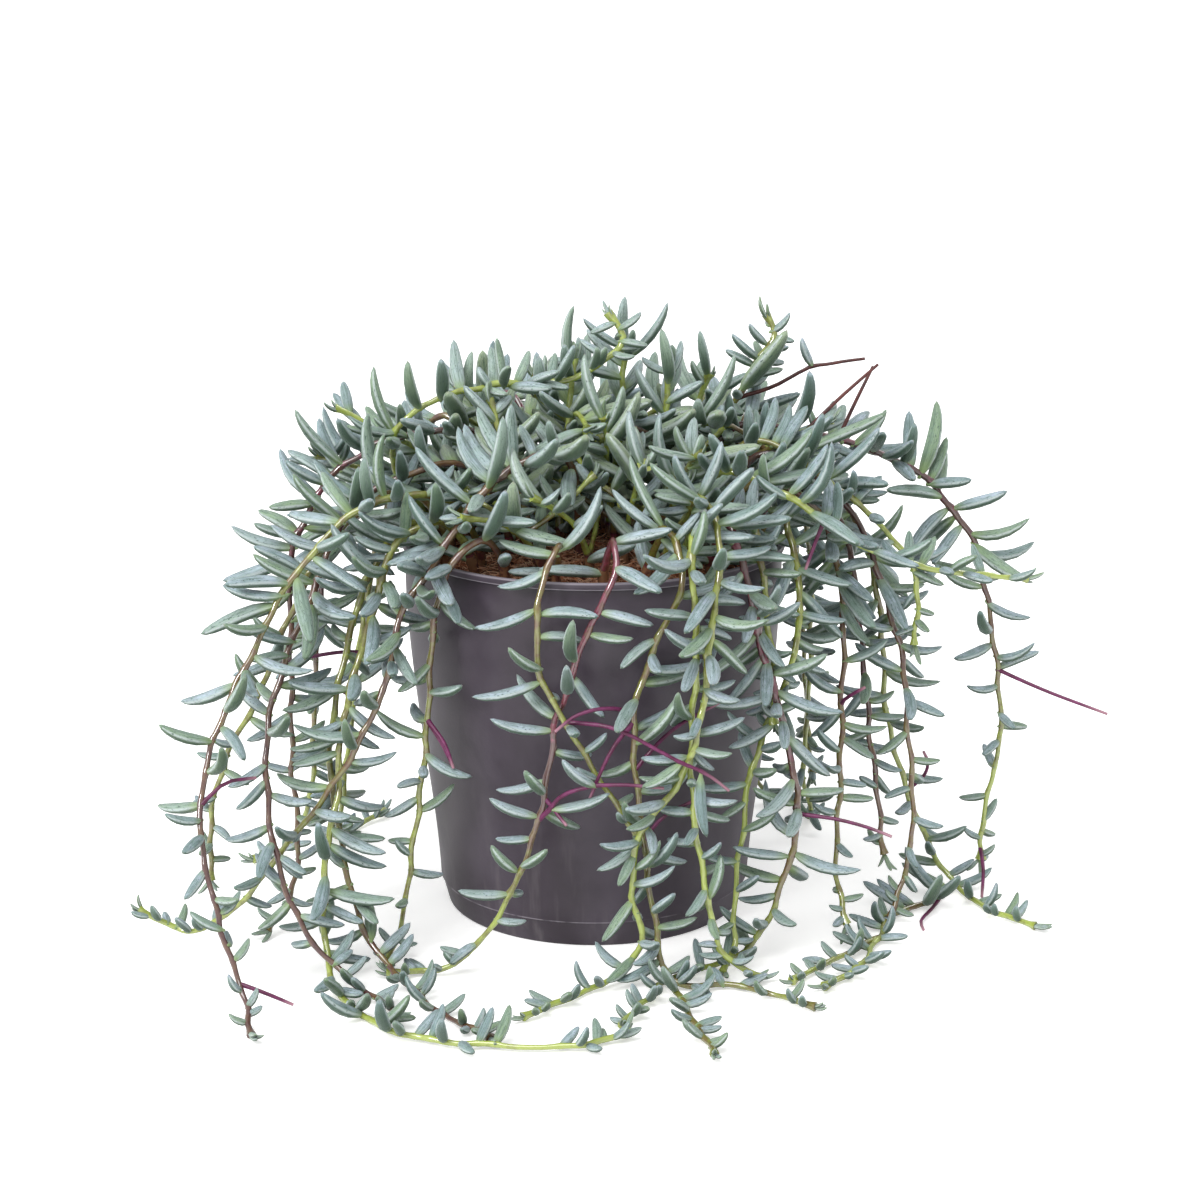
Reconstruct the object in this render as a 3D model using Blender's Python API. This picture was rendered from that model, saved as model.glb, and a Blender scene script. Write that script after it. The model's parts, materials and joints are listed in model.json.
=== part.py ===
"""A potted string of fishhooks: a thin plastic nursery pot, its soil, and a trailing succulent.

The stems follow routes chosen by hand and smoothed. Leaves are set along them by a seeded rule, turned
until each one clears what is already there. Each leafy stem is one closed solid.
"""

import math

import bpy
import numpy as np

# Lengths are in millimetres until a mesh is made, when they are multiplied by MM.
MM = 0.001

# Pot: radius and height pairs down the outside of the wall, slightly bellied
POT_HEIGHT = 150.0
WALL_OUTLINE = [(74.8, 147.0), (71.5, 89.0), (66.8, 52.0), (62.7, 10.6)]
SEAM_STEP = 0.45
FOOT_RADIUS = 59.5
WALL_THICKNESS = 1.2
LIP_RADIUS = 75.9
LIP_HEIGHT = 2.8
LIP_EDGE = 0.4
LIP_BAR_INSET = 1.5
LIP_BAR_RADIUS = 1.6
FOOT_BAR_RADIUS = 0.6
FLOOR_TOP = 3.5
RECESS_DEPTH = 2.0
FOOT_RING_WIDTH = 6.5
RECESS_SLOPE = 1.0
CENTRE_DISC_RADIUS = 23.0
DRAIN_HOLES = 8
DRAIN_RADIUS = 4.5
DRAIN_CIRCLE = 38.0
DRAIN_SIDES = 8
DRILL_OVERRUN = 1.0
POT_SIDES = 32
SEAM_MERGE = 0.00001

# Soil
GAP = 0.35
SOIL_EDGE_HEIGHT = 141.0
SOIL_RISE = 5.0
SOIL_RIPPLE = 1.2
SOIL_RING = 0.55
HOLE_BOTTOM = 131.0
HOLE_HALF_WIDTH = 2.0

# Stems
STEM_RADIUS = 1.2
TIP_RADIUS = 0.7
SHOOT_RADIUS = 1.0
STALK_RADIUS = 0.8
STALK_TIP_RADIUS = 0.45
STEM_THINNING = 1.3
STEM_SIDES = 4
STEM_START_SIDE = (0.1, 0.2, 1.0)
CORNER_SPREAD = 1.12
STEM_MARGIN = 0.1
CURVE_SAMPLES = 24
PATH_STEP = 4.5
STRAIGHTNESS = 1.0
STEM_CLEARANCE = 1.7
ROOT_POINTS = 4
ROOT_DEPTH = 2.0
ROOT_RISE = 5.0
FLOOR_CLEARANCE = 0.35

# How a stem is bent clear of what is in its way
BEND_ROUNDS = 60
BEND_SHARE = 0.7
BEND_UPWARD = 0.35
BENT_ENOUGH = 0.02

# Leaves
SEED = 41
CROWN_LEAF_STEP = 8.8
TRAILING_LEAF_STEP = 11.8
CROWN_LEAF_LENGTH = (22.0, 33.0)
TRAILING_LEAF_LENGTH = (17.0, 28.0)
LEAF_BASE_RADIUS = 1.15
LEAF_SLIMNESS = 0.064
LEAF_SIDES = 3
LEAF_CORNER_SPREAD = 1.18
LEAF_STATIONS = [(0.0, 0.0), (0.24, 0.92), (0.78, 0.9), (1.0, 0.0)]
LEAF_SINK = 0.5
LEAF_BOW = (0.08, 0.45)
BOW_DIP = 0.45
CROWN_ARCHED_SHARE = 0.45
TRAILING_ARCHED_SHARE = 0.15
ARCHED_BOW = 0.7
LEAF_TRIES = 14
SHRINK_PER_TRY = 0.02
WIDEN_PER_TRY = 0.3
MOST_ALONG_STEM = 0.88
LEAF_CLEARANCE = 0.15
OWN_STEM_SHARE = 0.4
YOUNG_LENGTH = 120.0
YOUNG_SHOOT_LENGTH = 9.0
SMALLEST_GROWTH = 0.35
YOUNG_TIP_LENGTH = 24.0
YOUNG_TIP_CLOSENESS = 0.6
FIRST_LEAF = 18.0
FIRST_SHOOT_LEAF = 5.0
LAST_LEAF_MARGIN = 1.0
LYING_HEIGHT = 15.0
STEEP = 0.7
FRONT_LINE = 30.0
CROWN_FLOOR = 136.0
HEAP_CORE_RADIUS = 58.0
HEAP_CORE_HEIGHT = 168.0
HEAP_CORE_FRONT = -36.0

# Ways a leaf points, in radians: how far it strays sideways, and the least and most it rises
GOLDEN_ANGLE = math.radians(137.5)
AIM_SPREAD = 0.25
HANGING_SPREAD = 0.65
FORWARD_LEAN = (0.1, 0.7)
UPRIGHT_RISE = (0.1, 1.2)
YOUNG_RISE = (0.75, 1.35)
LYING_RISE = (0.05, 0.95)
LOOSE_RISE = (-0.3, 0.6)
HANGING_RISE = (-0.75, 0.55)

# A kind for each line that a new leaf must clear
STEM_PIECE, ROOT_PIECE, BLADE_PIECE = 0, 1, 2

# Routes: the root's x and y in the soil, then x, y, z. The front is -y, and the right is +x
STEMS = {
    "left_stem_1": [(-44, -22), (-56, -34, 172), (-84, -52, 174), (-104, -62, 160), (-123, -75, 131),
                    (-141, -92, 92), (-144, -101, 72), (-142, -110, 52), (-133, -123, 23), (-127, -130, 10),
                    (-123, -146, 2)],
    "left_stem_2": [(-56, -8), (-72, -18, 172), (-98, -30, 160), (-117, -38, 128), (-129, -40, 98),
                    (-141, -42, 76), (-149, -43, 52), (-151, -45, 22)],
    "left_stem_3": [(-30, 4), (-42, 0, 190), (-73, -8, 192), (-94, -12, 183), (-107, -15, 170),
                    (-116, -19, 152), (-119, -22, 128), (-119, -28, 95), (-119, -33, 62), (-117, -38, 32),
                    (-121, -43, 12), (-127, -50, 3)],
    "left_stem_4": [(-33, -11), (-48, -18, 182), (-82, -30, 176), (-97, -38, 162), (-106, -48, 141),
                    (-115, -57, 120), (-122, -67, 98), (-123, -77, 74), (-119, -88, 48), (-108, -98, 22),
                    (-92, -106, 6), (-72, -128, 2)],
    "left_stem_5": [(-6, -16), (-9, -28, 186), (-17, -40, 192), (-42, -50, 178), (-59, -60, 154),
                    (-71, -66, 138), (-79, -73, 107), (-97, -78, 74), (-119, -76, 45), (-137, -71, 21),
                    (-157, -66, 8), (-174, -66, 17)],
    "left_stem_6": [(-46, -36), (-58, -44, 166), (-73, -54, 160), (-83, -60, 136), (-91, -67, 110),
                    (-96, -75, 80), (-101, -84, 46), (-101, -94, 14), (-95, -110, 2), (-69, -147, 2),
                    (-33, -157, 2), (-2, -156, 2), (11, -147, 2)],
    "left_stem_7": [(-58, -22), (-70, -36, 164), (-85, -50, 146), (-94, -58, 118), (-100, -67, 84),
                    (-97, -75, 56), (-92, -81, 33), (-84, -89, 12), (-68, -106, 2), (-57, -127, 2),
                    (-37, -149, 2)],
    "left_stem_8": [(-34, -46), (-41, -56, 162), (-52, -63, 156), (-58, -64, 142), (-61, -63, 120),
                    (-64, -64, 82), (-70, -68, 38), (-75, -72, 10), (-78, -80, 2)],
    "front_stem_1": [(-14, -54), (-13, -74, 164), (-20, -84, 146), (-20, -86, 121), (-10, -88, 99),
                     (7, -90, 71), (15, -91, 58)],
    "front_stem_2": [(4, -58), (7, -72, 166), (8, -82, 156), (-3, -85, 133), (-14, -86, 96), (-20, -87, 63),
                     (-32, -88, 31), (-53, -89, 4), (-76, -92, 2)],
    "front_stem_3": [(20, -54), (27, -66, 168), (33, -80, 154), (21, -83, 124), (15, -86, 104),
                     (18, -90, 58), (24, -94, 18), (29, -102, 3), (54, -104, 2), (80, -122, 2)],
    "front_stem_4": [(34, -51), (36, -66, 168), (36, -82, 156), (38, -87, 128), (36, -90, 86), (41, -94, 42),
                     (49, -96, 12), (61, -96, 2)],
    "front_stem_5": [(27, -39), (40, -58, 178), (46, -76, 166), (43, -88, 134), (39, -91, 104),
                     (33, -93, 80), (18, -95, 60), (14, -95, 36), (18, -96, 16), (7, -99, 3), (-24, -131, 2)],
    "front_stem_6": [(45, -39), (50, -54, 168), (56, -62, 154), (63, -66, 124), (72, -68, 92), (78, -70, 58),
                     (74, -72, 36), (60, -76, 6), (30, -97, 2), (17, -124, 2), (11, -139, 2)],
    "front_stem_7": [(54, -27), (58, -42, 170), (62, -54, 158), (65, -58, 138), (68, -62, 112),
                     (69, -64, 92)],
    "right_stem_1": [(61, -14), (72, -30, 166), (78, -46, 140), (76, -56, 118), (69, -61, 96), (60, -66, 73),
                     (57, -70, 52), (54, -76, 30), (53, -82, 5), (50, -90, 2)],
    "right_stem_2": [(48, -13), (62, -18, 176), (86, -22, 166), (97, -25, 130), (97, -33, 92), (96, -42, 58),
                     (95, -50, 26), (99, -59, 9)],
    "right_stem_3": [(62, 1), (76, -4, 172), (98, -9, 156), (104, -12, 126), (109, -18, 81), (114, -24, 43),
                     (116, -27, 26)],
    "right_stem_4": [(50, 2), (66, -2, 184), (100, -10, 164), (113, -16, 134), (122, -20, 104),
                     (124, -23, 80), (127, -27, 44), (124, -30, 18), (119, -37, 3)],
    "right_stem_5": [(57, 16), (74, 16, 180), (102, 12, 160), (113, 8, 130), (117, 8, 104), (119, 9, 79),
                     (125, 9, 52), (137, 8, 20), (148, 0, 3), (161, -32, 2), (173, -43, 2)],
    "right_stem_6": [(37, 12), (54, 14, 190), (92, 20, 186), (125, 22, 174), (144, 20, 158), (155, 19, 140),
                     (163, 16, 103), (167, 14, 61), (161, 12, 26), (160, 10, 10)],
    "right_stem_7": [(36, -24), (48, -40, 184), (75, -52, 176), (95, -46, 161), (122, -40, 148),
                     (166, -30, 140)],
    "right_stem_8": [(38, -4), (60, -10, 190), (96, -18, 172), (118, -20, 152), (126, -21, 136),
                     (126, -23, 112)],
    "crown_runner": [(-60, 8), (-78, -8, 180), (-74, -18, 199), (-56, -12, 209), (-30, -2, 211),
                     (-12, 0, 212), (4, 0, 220), (11, 0, 231), (7, 0, 238)],
}

# Short upright stems of the crown: root in the soil, then a bend, then the tip. One is tall and thin
TALL_SHOOT = "crown_shoot_8"
CROWN_SHOOTS = [
    [(6, 12), (9, 14, 180), (13, 18, 222)],
    [(-14, 4), (-12, 5, 180), (-8, 8, 218)],
    [(22, 2), (26, 5, 180), (30, 8, 219)],
    [(-22, -26), (-30, -22, 176), (-40, -14, 206)],
    [(-44, 8), (-58, 8, 176), (-84, 2, 192), (-100, 0, 201)],
    [(-57, 22), (-76, 16, 168), (-108, 0, 182)],
    [(26, 24), (36, 28, 180), (46, 30, 208)],
    [(44, 28), (48, 28, 180), (56, 22, 200), (64, 20, 214), (71, 20, 227), (69, 20, 234)],
    [(12, -22), (15, -32, 172), (19, -46, 186)],
    [(-2, -38), (-8, -46, 166), (-22, -58, 178)],
    [(22, -12), (30, -26, 176), (40, -46, 192)],
    [(-20, -42), (-32, -52, 166), (-48, -62, 172)],
    [(-22, 20), (-34, 14, 182), (-52, 4, 208)],
    [(4, 30), (0, 34, 182), (-6, 34, 214)],
    [(46, 12), (64, 6, 182), (92, 0, 196)],
    [(-12, 34), (-16, 38, 178), (-24, 44, 206)],
    [(8, -6), (6, -12, 176), (4, -22, 200)],
]

# The far side, its stems spread evenly round it
BACK_STEMS = 10
BACK_FIRST_ANGLE = 24.0
BACK_ANGLE_STEP = 14.8
BACK_ROOT_RADII = (58.0, 46.0)

# Side shoots: the stem they grow from, then their own route
SIDE_SHOOTS = [
    ("right_stem_5", [(148, 0, 3), (134, -18, 2), (120, -33, 2), (111, -57, 2), (100, -87, 2),
                      (87, -103, 2)]),
    ("right_stem_5", [(111, -57, 2), (98, -73, 2), (87, -85, 2), (76, -99, 2)]),
    ("front_stem_3", [(29, -102, 3), (34, -124, 2), (42, -162, 2)]),
]

# Thin leafless stalks
STALKS = [
    ("front_stem_3", [(15, -86, 104), (4, -92, 107), (-6, -94, 105), (-14, -92, 98)]),
    ("front_stem_1", [(-10, -88, 99), (8, -95, 99), (28, -99, 90), (43, -97, 82), (50, -95, 76)]),
    ("front_stem_2", [(-20, -87, 63), (-10, -93, 75), (8, -96, 79), (26, -98, 78)]),
    ("right_stem_6", [(164, 15, 92), (184, 8, 84), (208, 0, 76)]),
    ("front_stem_6", [(78, -70, 58), (92, -76, 58), (104, -80, 56), (112, -84, 54)]),
    ("left_stem_1", [(-129, -127, 14), (-120, -129, 11), (-109, -130, 6)]),
    ("right_stem_7", [(88, -48, 166), (84, -50, 158), (80, -54, 150)]),
    ("crown_shoot_8", [(57, 22, 203), (72, 20, 208), (84, 20, 214), (98, 20, 217), (108, 20, 218)]),
    ("crown_shoot_15", [(84, 1, 192), (98, 10, 204), (113, 18, 216)]),
    ("right_stem_6", [(96, 20, 186), (104, 24, 200), (112, 26, 214)]),
]

# Colours, as linear red, green, blue, each with its roughness
POT_FINISH = (0.085, 0.070, 0.090), 0.42
SOIL_FINISH = (0.13, 0.055, 0.032), 0.95
PLANT_FINISH = (0.17, 0.27, 0.25), 0.55
SHARP_ANGLE = math.radians(38)


def unit(vector):
    """The vector at length one."""
    return vector / max(np.linalg.norm(vector), 1e-9)


def smooth_path(points):
    """Points every PATH_STEP along a centripetal curve through the given ones."""
    given = np.array(points, float)
    ends = [2 * given[0] - given[1]], [2 * given[-1] - given[-2]]
    knots = np.concatenate([ends[0], given, ends[1]])
    curve = []
    for i in range(1, len(knots) - 2):
        p0, p1, p2, p3 = knots[i - 1:i + 3]
        t1 = np.linalg.norm(p1 - p0) ** 0.5
        t2 = t1 + np.linalg.norm(p2 - p1) ** 0.5
        t3 = t2 + np.linalg.norm(p3 - p2) ** 0.5
        for t in np.linspace(t1, t2, CURVE_SAMPLES, endpoint=False):
            a1 = (t1 - t) / t1 * p0 + t / t1 * p1
            a2 = (t2 - t) / (t2 - t1) * p1 + (t - t1) / (t2 - t1) * p2
            a3 = (t3 - t) / (t3 - t2) * p2 + (t - t2) / (t3 - t2) * p3
            b1 = (t2 - t) / t2 * a1 + t / t2 * a2
            b2 = (t3 - t) / (t3 - t1) * a2 + (t - t1) / (t3 - t1) * a3
            curve.append((t2 - t) / (t2 - t1) * b1 + (t - t1) / (t2 - t1) * b2)
    curve = np.array(curve + [given[-1]])
    return even_points(curve)


def even_points(curve):
    """The same line with its points PATH_STEP apart."""
    along = arc_lengths(curve)
    places = np.linspace(0, along[-1], max(int(along[-1] / PATH_STEP), 2) + 1)
    return np.stack([np.interp(places, along, curve[:, axis]) for axis in range(3)], 1)


def arc_lengths(points):
    """How far along the line each point lies."""
    steps = np.linalg.norm(np.diff(points, axis=0), axis=1)
    return np.concatenate([[0.0], np.cumsum(steps)])


def simplified(points, rooted):
    """Which points a line needs to stay near the full one. A rooted line keeps its straight foot."""
    first = ROOT_POINTS - 1 if rooted else 0
    keep = {0, first, len(points) - 1}
    spans = [(first, len(points) - 1)]
    while spans:
        first, last = spans.pop()
        if last - first < 2:
            continue
        chord = points[last] - points[first]
        share = np.clip((points[first:last + 1] - points[first]) @ chord / (chord @ chord), 0, 1)
        off = np.linalg.norm(points[first:last + 1] - points[first] - share[:, None] * chord, axis=1)
        worst = int(off.argmax())
        if off[worst] > STRAIGHTNESS:
            keep.add(first + worst)
            spans += [(first, first + worst), (first + worst, last)]
    return sorted(keep)


def soil_height(x, y):
    """The soil's surface, gently heaped to the middle and uneven."""
    share = math.hypot(x, y) / WALL_OUTLINE[0][0]
    ripple = SOIL_RIPPLE * math.sin(0.13 * x + 1.0) * math.cos(0.11 * y - 0.4)
    return SOIL_EDGE_HEIGHT + SOIL_RISE * (1 - share ** 2) + ripple * (1 - share)


def soil_ceiling(reach):
    """A height that the soil stays under at this distance from the middle."""
    share = np.minimum(reach / WALL_OUTLINE[0][0], 1)
    return SOIL_EDGE_HEIGHT + SOIL_RISE * (1 - share ** 2) + SOIL_RIPPLE * (1 - share)


def wall_push(points, clearance):
    """How far each point is inside its clearance from the pot's wall, as a vector that moves it out."""
    reach = np.hypot(points[:, 0], points[:, 1])
    flat = np.stack([reach, points[:, 2]], 1)
    chain = [(radius - WALL_THICKNESS / 2, height, WALL_THICKNESS / 2) for radius, height in WALL_OUTLINE]
    chain = [(LIP_RADIUS - LIP_BAR_INSET, POT_HEIGHT - LIP_BAR_INSET, LIP_BAR_RADIUS)] + chain
    chain.append((FOOT_RADIUS - WALL_THICKNESS / 2, FOOT_BAR_RADIUS, FOOT_BAR_RADIUS))
    best = np.full(len(points), np.inf)
    away = np.zeros((len(points), 2))
    for (r0, z0, w0), (r1, z1, w1) in zip(chain, chain[1:]):
        start, run = np.array([r0, z0]), np.array([r1 - r0, z1 - z0])
        share = np.clip((flat - start) @ run / (run @ run), 0, 1)
        offset = flat - start - share[:, None] * run
        distance = np.linalg.norm(offset, axis=1)
        gap = distance - (w0 + share * (w1 - w0))
        nearer = gap < best
        best[nearer] = gap[nearer]
        away[nearer] = offset[nearer] / np.maximum(distance[nearer], 1e-6)[:, None]
    short = np.maximum(clearance - best, 0)
    outward = points[:, :2] / np.maximum(reach, 1e-6)[:, None]
    return np.concatenate([outward * (short * away[:, 0])[:, None], (short * away[:, 1])[:, None]], 1)


def ground_lift(points, radius):
    """How far each point must rise to lie on the surface or clear of the soil."""
    lift = np.maximum(radius + FLOOR_CLEARANCE - points[:, 2], 0)
    reach = np.hypot(points[:, 0], points[:, 1])
    over_soil = (reach < LIP_RADIUS) & (points[:, 2] > HOLE_BOTTOM)
    wanted = soil_ceiling(reach) + radius + GAP
    return np.where(over_soil, np.maximum(wanted - points[:, 2], 0), lift)


def line_offsets(points, starts, ends):
    """For each point, the shortest vector to it from each of the lines."""
    run = ends - starts
    square = np.maximum((run ** 2).sum(1), 1e-9)
    share = ((points[:, None] - starts) * run).sum(2) / square
    return points[:, None] - starts - np.clip(share, 0, 1)[:, :, None] * run


def clear_path(path, radius, starts, ends, fixed):
    """The path bent clear of the stems already placed, of the pot, the soil and the surface below."""
    path = path.copy()
    for _ in range(BEND_ROUNDS):
        push = wall_push(path, radius + STEM_CLEARANCE)
        push[:, 2] += ground_lift(path, radius)
        if len(starts):
            offsets = line_offsets(path, starts, ends)
            distance = np.linalg.norm(offsets, axis=2)
            nearest = distance.argmin(1)
            rows = np.arange(len(path))
            short = 2 * STEM_RADIUS + STEM_CLEARANCE - distance[rows, nearest]
            towards = offsets[rows, nearest] + np.array([0.0, 0.0, BEND_UPWARD])
            towards /= np.maximum(np.linalg.norm(towards, axis=1), 1e-6)[:, None]
            push += np.maximum(short, 0)[:, None] * towards
        push[:fixed] = 0
        if np.abs(push).max() < BENT_ENOUGH:
            break
        for _ in range(2):
            spread = push.copy()
            spread[1:-1] = 0.5 * push[1:-1] + 0.25 * (push[:-2] + push[2:])
            push = np.where(np.abs(spread) > np.abs(push), spread, 0.5 * (push + spread))
            push[:fixed] = 0
        path += BEND_SHARE * push
    return path


def rooted_route(route):
    """A route with its root standing straight up out of its hole in the soil."""
    x, y = route[0]
    surface = soil_height(x, y)
    foot = [(x, y, HOLE_BOTTOM + GAP), (x, y, surface - ROOT_DEPTH), (x, y, surface + ROOT_RISE)]
    return foot + list(route[1:])


def back_routes():
    """The far side's stems, evenly round it, each a little different."""
    rng = np.random.default_rng(SEED)
    routes = {}
    for k in range(BACK_STEMS):
        angle = math.radians(BACK_FIRST_ANGLE + BACK_ANGLE_STEP * k)
        root = BACK_ROOT_RADII[k % 2]
        lean = angle + rng.uniform(-0.1, 0.1)
        sway = rng.uniform(-0.3, 0.3)
        spread = rng.uniform(-6, 12)
        top = 172 + 16 * ((k + 1) % 2) + rng.uniform(-4, 8)
        profile = [(root + 14, 0, top), (92 + spread, 0.1, top - 12), (108 + spread, 0.25, 138),
                   (114 + spread, 0.45, 100), (116 + spread, 0.65, 60)]
        if k % 3 == 0:
            profile += [(118 + spread, 0.85, 24), (128 + spread, 1.1, 3), (136 + spread, 1.8, 2)]
        elif k % 3 == 1:
            profile += [(118 + spread, 0.85, 26)]
        else:
            profile += [(120 + spread, 0.85, 14), (130 + spread, 0.4, 2), (134 + spread, -0.5, 2)]
        points = [(root * math.cos(angle), root * math.sin(angle))]
        for reach, share, height in profile:
            turned = lean + sway * share
            points.append((reach * math.cos(turned), reach * math.sin(turned), height))
        routes[f"back_stem_{k + 1}"] = points
    return routes


def stem_radii(path, thick, thin):
    """A radius for each point, thinning to the tip."""
    share = arc_lengths(path) / arc_lengths(path)[-1]
    return thick + (thin - thick) * share ** STEM_THINNING


def grow_stems():
    """Every stem with its branches, bent clear of each other: name, and a list of (kind, path, radii)."""
    routes = {name: rooted_route(route) for name, route in STEMS.items()}
    routes |= {name: rooted_route(route) for name, route in back_routes().items()}
    for k, route in enumerate(CROWN_SHOOTS):
        routes[f"crown_shoot_{k + 1}"] = rooted_route(route)
    plants = {}
    starts = np.empty((0, 3))
    ends = np.empty((0, 3))
    owners = np.empty(0, int)

    def place(name, kind, route, thick, thin, fixed):
        nonlocal starts, ends, owners
        owner = list(routes).index(name)
        others = owners != owner
        path = clear_path(smooth_path(route), thick, starts[others], ends[others], fixed)
        path = even_points(path)
        plants.setdefault(name, []).append((kind, path, stem_radii(path, thick, thin)))
        starts = np.concatenate([starts, path[:-1]])
        ends = np.concatenate([ends, path[1:]])
        owners = np.concatenate([owners, np.full(len(path) - 1, owner)])

    for name, route in routes.items():
        place(name, "stem", route, STEM_RADIUS, TIP_RADIUS, ROOT_POINTS)
    for name, route in SIDE_SHOOTS:
        place(name, "shoot", joined_route(plants[name], route), SHOOT_RADIUS, TIP_RADIUS, 2)
    for name, route in STALKS:
        place(name, "stalk", joined_route(plants[name], route), STALK_RADIUS, STALK_TIP_RADIUS, 2)
    return plants


def joined_route(parts, route):
    """The route moved, most at its start, so that it begins on the middle of the stem it grows from."""
    wanted = np.array(route[0], float)
    points = np.concatenate([path for kind, path, _ in parts if kind != "stalk"])
    shift = points[np.linalg.norm(points - wanted, axis=1).argmin()] - wanted
    fade = np.linspace(1, 0, len(route))[:, None]
    return np.array(route, float) + shift * fade


class Space:
    """The stems and leaves placed so far, as round-ended lines that a new leaf must clear."""

    def __init__(self):
        self.starts = np.empty((0, 3))
        self.ends = np.empty((0, 3))
        self.radii = np.empty(0)
        self.owners = np.empty(0, int)
        self.kinds = np.empty(0, int)

    def add(self, points, radii, owner, kinds):
        """Adds a line's pieces, each with the larger radius of its two ends."""
        self.starts = np.concatenate([self.starts, points[:-1]])
        self.ends = np.concatenate([self.ends, points[1:]])
        self.radii = np.concatenate([self.radii, np.maximum(radii[:-1], radii[1:])])
        self.owners = np.concatenate([self.owners, np.full(len(points) - 1, owner)])
        self.kinds = np.concatenate([self.kinds, kinds])

    def gaps(self, start, end):
        """The distance from one line to each line placed."""
        d1, d2 = end - start, self.ends - self.starts
        between = start - self.starts
        a, e = d1 @ d1, np.maximum((d2 ** 2).sum(1), 1e-9)
        b, c, f = d2 @ d1, between @ d1, (d2 * between).sum(1)
        denominator = a * e - b * b
        s = np.clip((b * f - c * e) / np.maximum(denominator, 1e-9), 0, 1)
        t = np.clip((b * s + f) / e, 0, 1)
        s = np.clip((b * t - c) / a, 0, 1)
        return np.linalg.norm(between + s[:, None] * d1 - t[:, None] * d2, axis=1)

    def takes(self, points, radii, owner):
        """Whether a leaf along these points clears the rest. Its root may meet its own stem."""
        own = self.owners == owner
        for i in range(len(points) - 1):
            needed = max(radii[i], radii[i + 1]) + self.radii + LEAF_CLEARANCE
            needed[own & (self.kinds == STEM_PIECE)] *= OWN_STEM_SHARE
            checked = ~own | (self.kinds != ROOT_PIECE) if i else ~own
            if (self.gaps(points[i], points[i + 1]) < needed)[checked].any():
                return False
        return True


def leaf_spine(leaf):
    """The points of a leaf's curved middle line at its stations."""
    share = np.array([station for station, _ in LEAF_STATIONS])[:, None]
    bow = leaf["bow"] * (share ** 2 - BOW_DIP * share)
    return leaf["root"] + leaf["length"] * (share * leaf["out"] + bow * leaf["up"])


def leaf_radii(leaf):
    """How far a leaf's corners stand off its middle line at its stations."""
    return leaf["radius"] * LEAF_CORNER_SPREAD * np.array([width for _, width in LEAF_STATIONS])


def leaf_direction(rng, tangent, place, side, upright, spin, growth, attempt):
    """The way a leaf points: round an upright tip, to the sides of a lying stem, across a hanging one."""
    wide = 1 + WIDEN_PER_TRY * attempt
    if upright:
        azimuth = spin + rng.normal(0, AIM_SPREAD * wide)
        rise = rng.uniform(*(UPRIGHT_RISE if growth == 1 else YOUNG_RISE))
    elif abs(tangent[2]) < STEEP:
        across = math.atan2(tangent[1], tangent[0]) + side * math.pi / 2
        azimuth = across - side * rng.uniform(*FORWARD_LEAN) + rng.normal(0, AIM_SPREAD * wide)
        resting = place[2] > CROWN_FLOOR or place[2] < LYING_HEIGHT
        rise = rng.uniform(*(LYING_RISE if resting else LOOSE_RISE))
    else:
        facing = math.atan2(place[1], place[0])
        across = 0.0 if place[1] < FRONT_LINE else facing + math.pi / 2
        azimuth = across + (0 if side > 0 else math.pi) + rng.normal(0, HANGING_SPREAD * wide)
        rise = rng.uniform(*HANGING_RISE)
    return np.array([math.cos(azimuth) * math.cos(rise), math.sin(azimuth) * math.cos(rise), math.sin(rise)])


def new_leaf(rng, root, tangent, side, upright, spin, growth, attempt):
    """One leaf with its size, its direction and its bow, up like a fishhook or now and then down."""
    crown = root[2] > CROWN_FLOOR
    shortest, longest = CROWN_LEAF_LENGTH if crown else TRAILING_LEAF_LENGTH
    length = rng.uniform(shortest, longest) * growth * (1 - SHRINK_PER_TRY * attempt)
    out = leaf_direction(rng, tangent, root, side, upright, spin, growth, attempt)
    up = unit(np.array([0.0, 0.0, 1.0]) - out[2] * out)
    bow = rng.uniform(*LEAF_BOW)
    if rng.random() < (CROWN_ARCHED_SHARE if crown else TRAILING_ARCHED_SHARE):
        bow = -ARCHED_BOW * bow
    radius = LEAF_BASE_RADIUS + LEAF_SLIMNESS * length
    return {"root": root - LEAF_SINK * out, "out": out, "up": up, "bow": bow, "length": length,
            "radius": radius}


def leaf_fits(space, leaf, owner):
    """Whether the leaf clears the pot, the soil, the surface below and everything placed."""
    points = leaf_spine(leaf)
    radii = leaf_radii(leaf)
    shares = np.array([0.25, 0.5, 0.75, 1.0])[:, None]
    blade = np.concatenate([first + shares * (second - first) for first, second in zip(points, points[1:])])
    if np.abs(wall_push(blade, radii.max() + LEAF_CLEARANCE)).max() > 0:
        return False
    if ground_lift(blade[1:], radii.max()).max() > 0:
        return False
    return space.takes(points, radii, owner)


def leaf_places(path, upright, rooted):
    """The arc lengths along a stem where leaves grow, closer in the crown and at the young tip."""
    along = arc_lengths(path)
    places = []
    place = FIRST_LEAF if rooted else FIRST_SHOOT_LEAF
    while place < along[-1] - LAST_LEAF_MARGIN:
        places.append(place)
        height = np.interp(place, along, path[:, 2])
        step = CROWN_LEAF_STEP if height > CROWN_FLOOR else TRAILING_LEAF_STEP
        if along[-1] - place < YOUNG_TIP_LENGTH and not upright:
            step *= YOUNG_TIP_CLOSENESS
        place += step
    return places


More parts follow.
